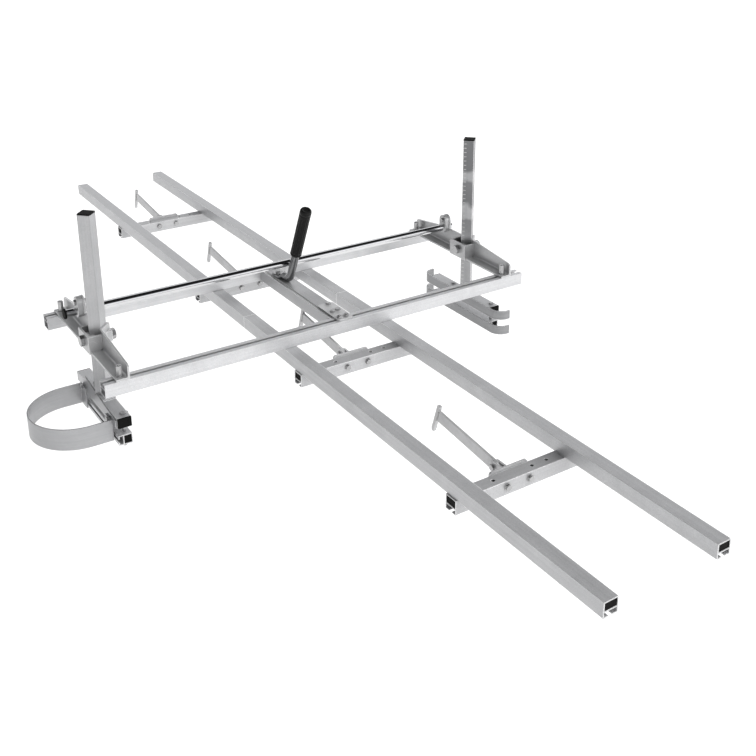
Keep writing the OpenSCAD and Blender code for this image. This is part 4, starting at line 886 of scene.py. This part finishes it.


# Height posts and bar clamps: square aluminium tubes that stand on their corners, and
# under each an upper tube and a slotted lower jaw on two long bolts. Black caps close the
# posts and the upper tubes.
# The left post's corners are painted dark: a painted shade line along its corners
post_aluminium = satin_aluminium("post_aluminium", (ACROSS, ACROSS, ALONG), 0.86,
                                 edge_wear_and_painted_light=(0.33, 0.33, 0.335, 1))
dress(post_aluminium, "aluminium", "post_left")

# A height scale on one face of the right post: short painted marks at even steps, no figures
scale_marks, given, result = effect(
    "scale_marks", [("Place", "Vector", None), ("Centre X", "Float", 0.0),
                    ("Centre Y", "Float", 0.0), ("Half Side", "Float", 0.016),
                    ("Step", "Float", 0.0127), ("Thick", "Float", 0.0020),
                    ("Long", "Float", 0.007), ("Margin", "Float", 0.003)], [("Mark", "Float")])
at_post = add(scale_marks, "ShaderNodeSeparateXYZ", {"Vector": given["Place"]}).outputs
off_x = calc(scale_marks, "SUBTRACT", at_post["X"], given["Centre X"])
off_y = calc(scale_marks, "SUBTRACT", at_post["Y"], given["Centre Y"])
over_face = times(scale_marks, calc(scale_marks, "SUBTRACT", off_y, off_x), math.sqrt(0.5))
out_of_face = times(scale_marks, plus(scale_marks, off_x, off_y), -math.sqrt(0.5))
mark_from = calc(scale_marks, "SUBTRACT", given["Half Side"], given["Margin"])
mark_to = calc(scale_marks, "SUBTRACT", mark_from, given["Long"])
up_step = calc(scale_marks, "FLOORED_MODULO", at_post["Z"], given["Step"])
inside = times(
    scale_marks, times(scale_marks, calc(scale_marks, "LESS_THAN", over_face, mark_from),
                       calc(scale_marks, "GREATER_THAN", over_face, mark_to)),
    times(scale_marks, calc(scale_marks, "GREATER_THAN", out_of_face,
                            times(scale_marks, given["Half Side"], 0.97)),
          calc(scale_marks, "LESS_THAN", up_step, given["Thick"])))
feed(scale_marks, result, {"Mark": inside})

# The right post has painted reflections of what stands round it: heights, each with its share of
# dark
POST_PAINTED_REFLECTIONS = [(0.170, 0.45), (0.235, 0.65), (0.245, 0.10), (0.272, 0.10), (0.282, 0.85),
              (0.330, 0.80), (0.342, 0.20), (0.366, 0.25), (0.378, 0.9)]
POST_X = {"left": -0.557, "right": 0.560}
post_painted_reflections = metal("post_painted_reflections", SATIN_DARK, SATIN_LIGHT, SATIN_EDGE_WEAR_AND_HIGHLIGHT, 0.85, 0.30,
                    (ACROSS, ACROSS, ALONG), edge_width=0.0022, speckle=0.3,
                    painted_reflection_bands=(POST_PAINTED_REFLECTIONS, (0.16, 0.162, 0.167, 1)))
tree = post_painted_reflections.node_tree
shader = tree.nodes["Principled BSDF"]
mark = place_effect(tree, scale_marks, {
    "Place": add(tree, "ShaderNodeTexCoord").outputs["Object"], "Centre X": POST_X["right"],
    "Centre Y": POST_Y})["Mark"]
bare_colour = shader.inputs["Base Color"].links[0].from_socket
feed(tree, shader, {"Base Color": mix(tree, mark, bare_colour, (0.58, 0.58, 0.58, 1), "RGBA")})
dress(post_painted_reflections, "aluminium", "post_right")
clamp_aluminium = satin_aluminium("clamp_aluminium", (ACROSS, ALONG, ACROSS))

BOLT_OFF, CLAMP_BOLTS_Y, JAW_NUT_DROP, CLAMP_ROD = 0.003, (-0.148, 0.038), 0.0795, 0.0855
CLAMP_END_Y, JAW_TOP_DROP = (-0.165, 0.125), 0.047
JAW_PLUG_X, JAW_PLUG_Z = (-0.0038, 0.0148), (-0.0238, -0.0022)
CORNER_OUT, FOOT_T, NOTCH_IN, NOTCH_ASIDE = 0.02245, 0.005, 0.0199, (-0.0012, 0.0, 0.0012)
for side, foot_z in (("left", -0.031), ("right", -0.018)):
    post_x = POST_X[side]
    dress(clamp_aluminium, "aluminium", "clamp_tube_" + side, "clamp_jaw_" + side)
    dress(black_plastic, "black_plastic", "end_caps_" + side)
    clamp_heads = [((post_x + BOLT_OFF, y, foot_z), UP) for y in CLAMP_BOLTS_Y]
    jaw_nuts = [((x, y, z - JAW_NUT_DROP), UP) for (x, y, z), _ in clamp_heads]
    fastener_piece("clamp_bolt_pair_" + side, [
        heads(clamp_heads), shafts(clamp_heads, CLAMP_ROD)], side + "_post",
        "clamp_bolts_" + side)
    fastener_piece("jaw_nut_pair_" + side, [nuts(jaw_nuts)], side + "_jaw", "jaw_nuts_" + side)
    foot_top = foot_z + FOOT_T
    corners = [(1, 0), (0, 1), (-1, 0), (0, -1), (1, 0)]
    foot_seams = [[(post_x + x * CORNER_OUT, POST_Y + y * CORNER_OUT, foot_top)
                   for x, y in corners]]
    # On the left, short beads also fill the guard plate's notch at the post's corner
    if side == "left":
        foot_seams += [[(post_x - NOTCH_IN, POST_Y + aside, z) for z in (foot_z, foot_top)]
                       for aside in NOTCH_ASIDE]
    weld_piece("foot_weld_" + side, foot_seams, side + "_post")
    jaw_top = foot_z - JAW_TOP_DROP
    plug_piece("jaw_plugs_" + side, [
        ([post_x + x for x in JAW_PLUG_X], plug_reach(end_y, way), [jaw_top + z for z in JAW_PLUG_Z])
        for end_y, way in zip(CLAMP_END_Y, (1, -1))], side + "_jaw")

GUARD_BOLT_X, GUARD_NUT_X, GUARD_BOLT_Z, GUARD_ROD = -0.582, -0.540, -0.047, 0.0505
GUARD_BOLTS_Y = (-0.123, 0.067)
guard_heads = [((GUARD_BOLT_X, y, GUARD_BOLT_Z), LEFT) for y in GUARD_BOLTS_Y]
guard_nuts = [((GUARD_NUT_X, y, GUARD_BOLT_Z), RIGHT) for y in GUARD_BOLTS_Y]
fastener_piece("guard_fasteners", [
    heads(guard_heads), nuts(guard_nuts), shafts(guard_heads, GUARD_ROD)],
    "left_post", "guard_bolts")


# Nose guard and bumpers: the guard is a flat aluminium strip rolled round the saw's nose
# and bolted to the left clamp with its plate; the bumpers are two strips with curved ends
# on the right clamp. All are dull, with the rolling marks along them.
strip_metal = metal("strip_metal", (0.35, 0.352, 0.36, 1), (0.42, 0.422, 0.43, 1),
                    (0.90, 0.90, 0.90, 1), 0.75, 0.34, (40, 40, 900), edge_amount=0.8)
dress(strip_metal, "aluminium", "nose_guard", "guard_plate")
# The bumpers are the same strip painted darker: painted shade, for the shade from above
bumper_metal_painted_darker = metal("bumper_metal_painted_darker", (0.25, 0.252, 0.258, 1), (0.34, 0.342, 0.348, 1),
                     (0.92, 0.92, 0.92, 1), 0.75, 0.34, (40, 40, 900), edge_width=0.0016)
dress(bumper_metal_painted_darker, "aluminium", "bumper_upper", "bumper_lower")
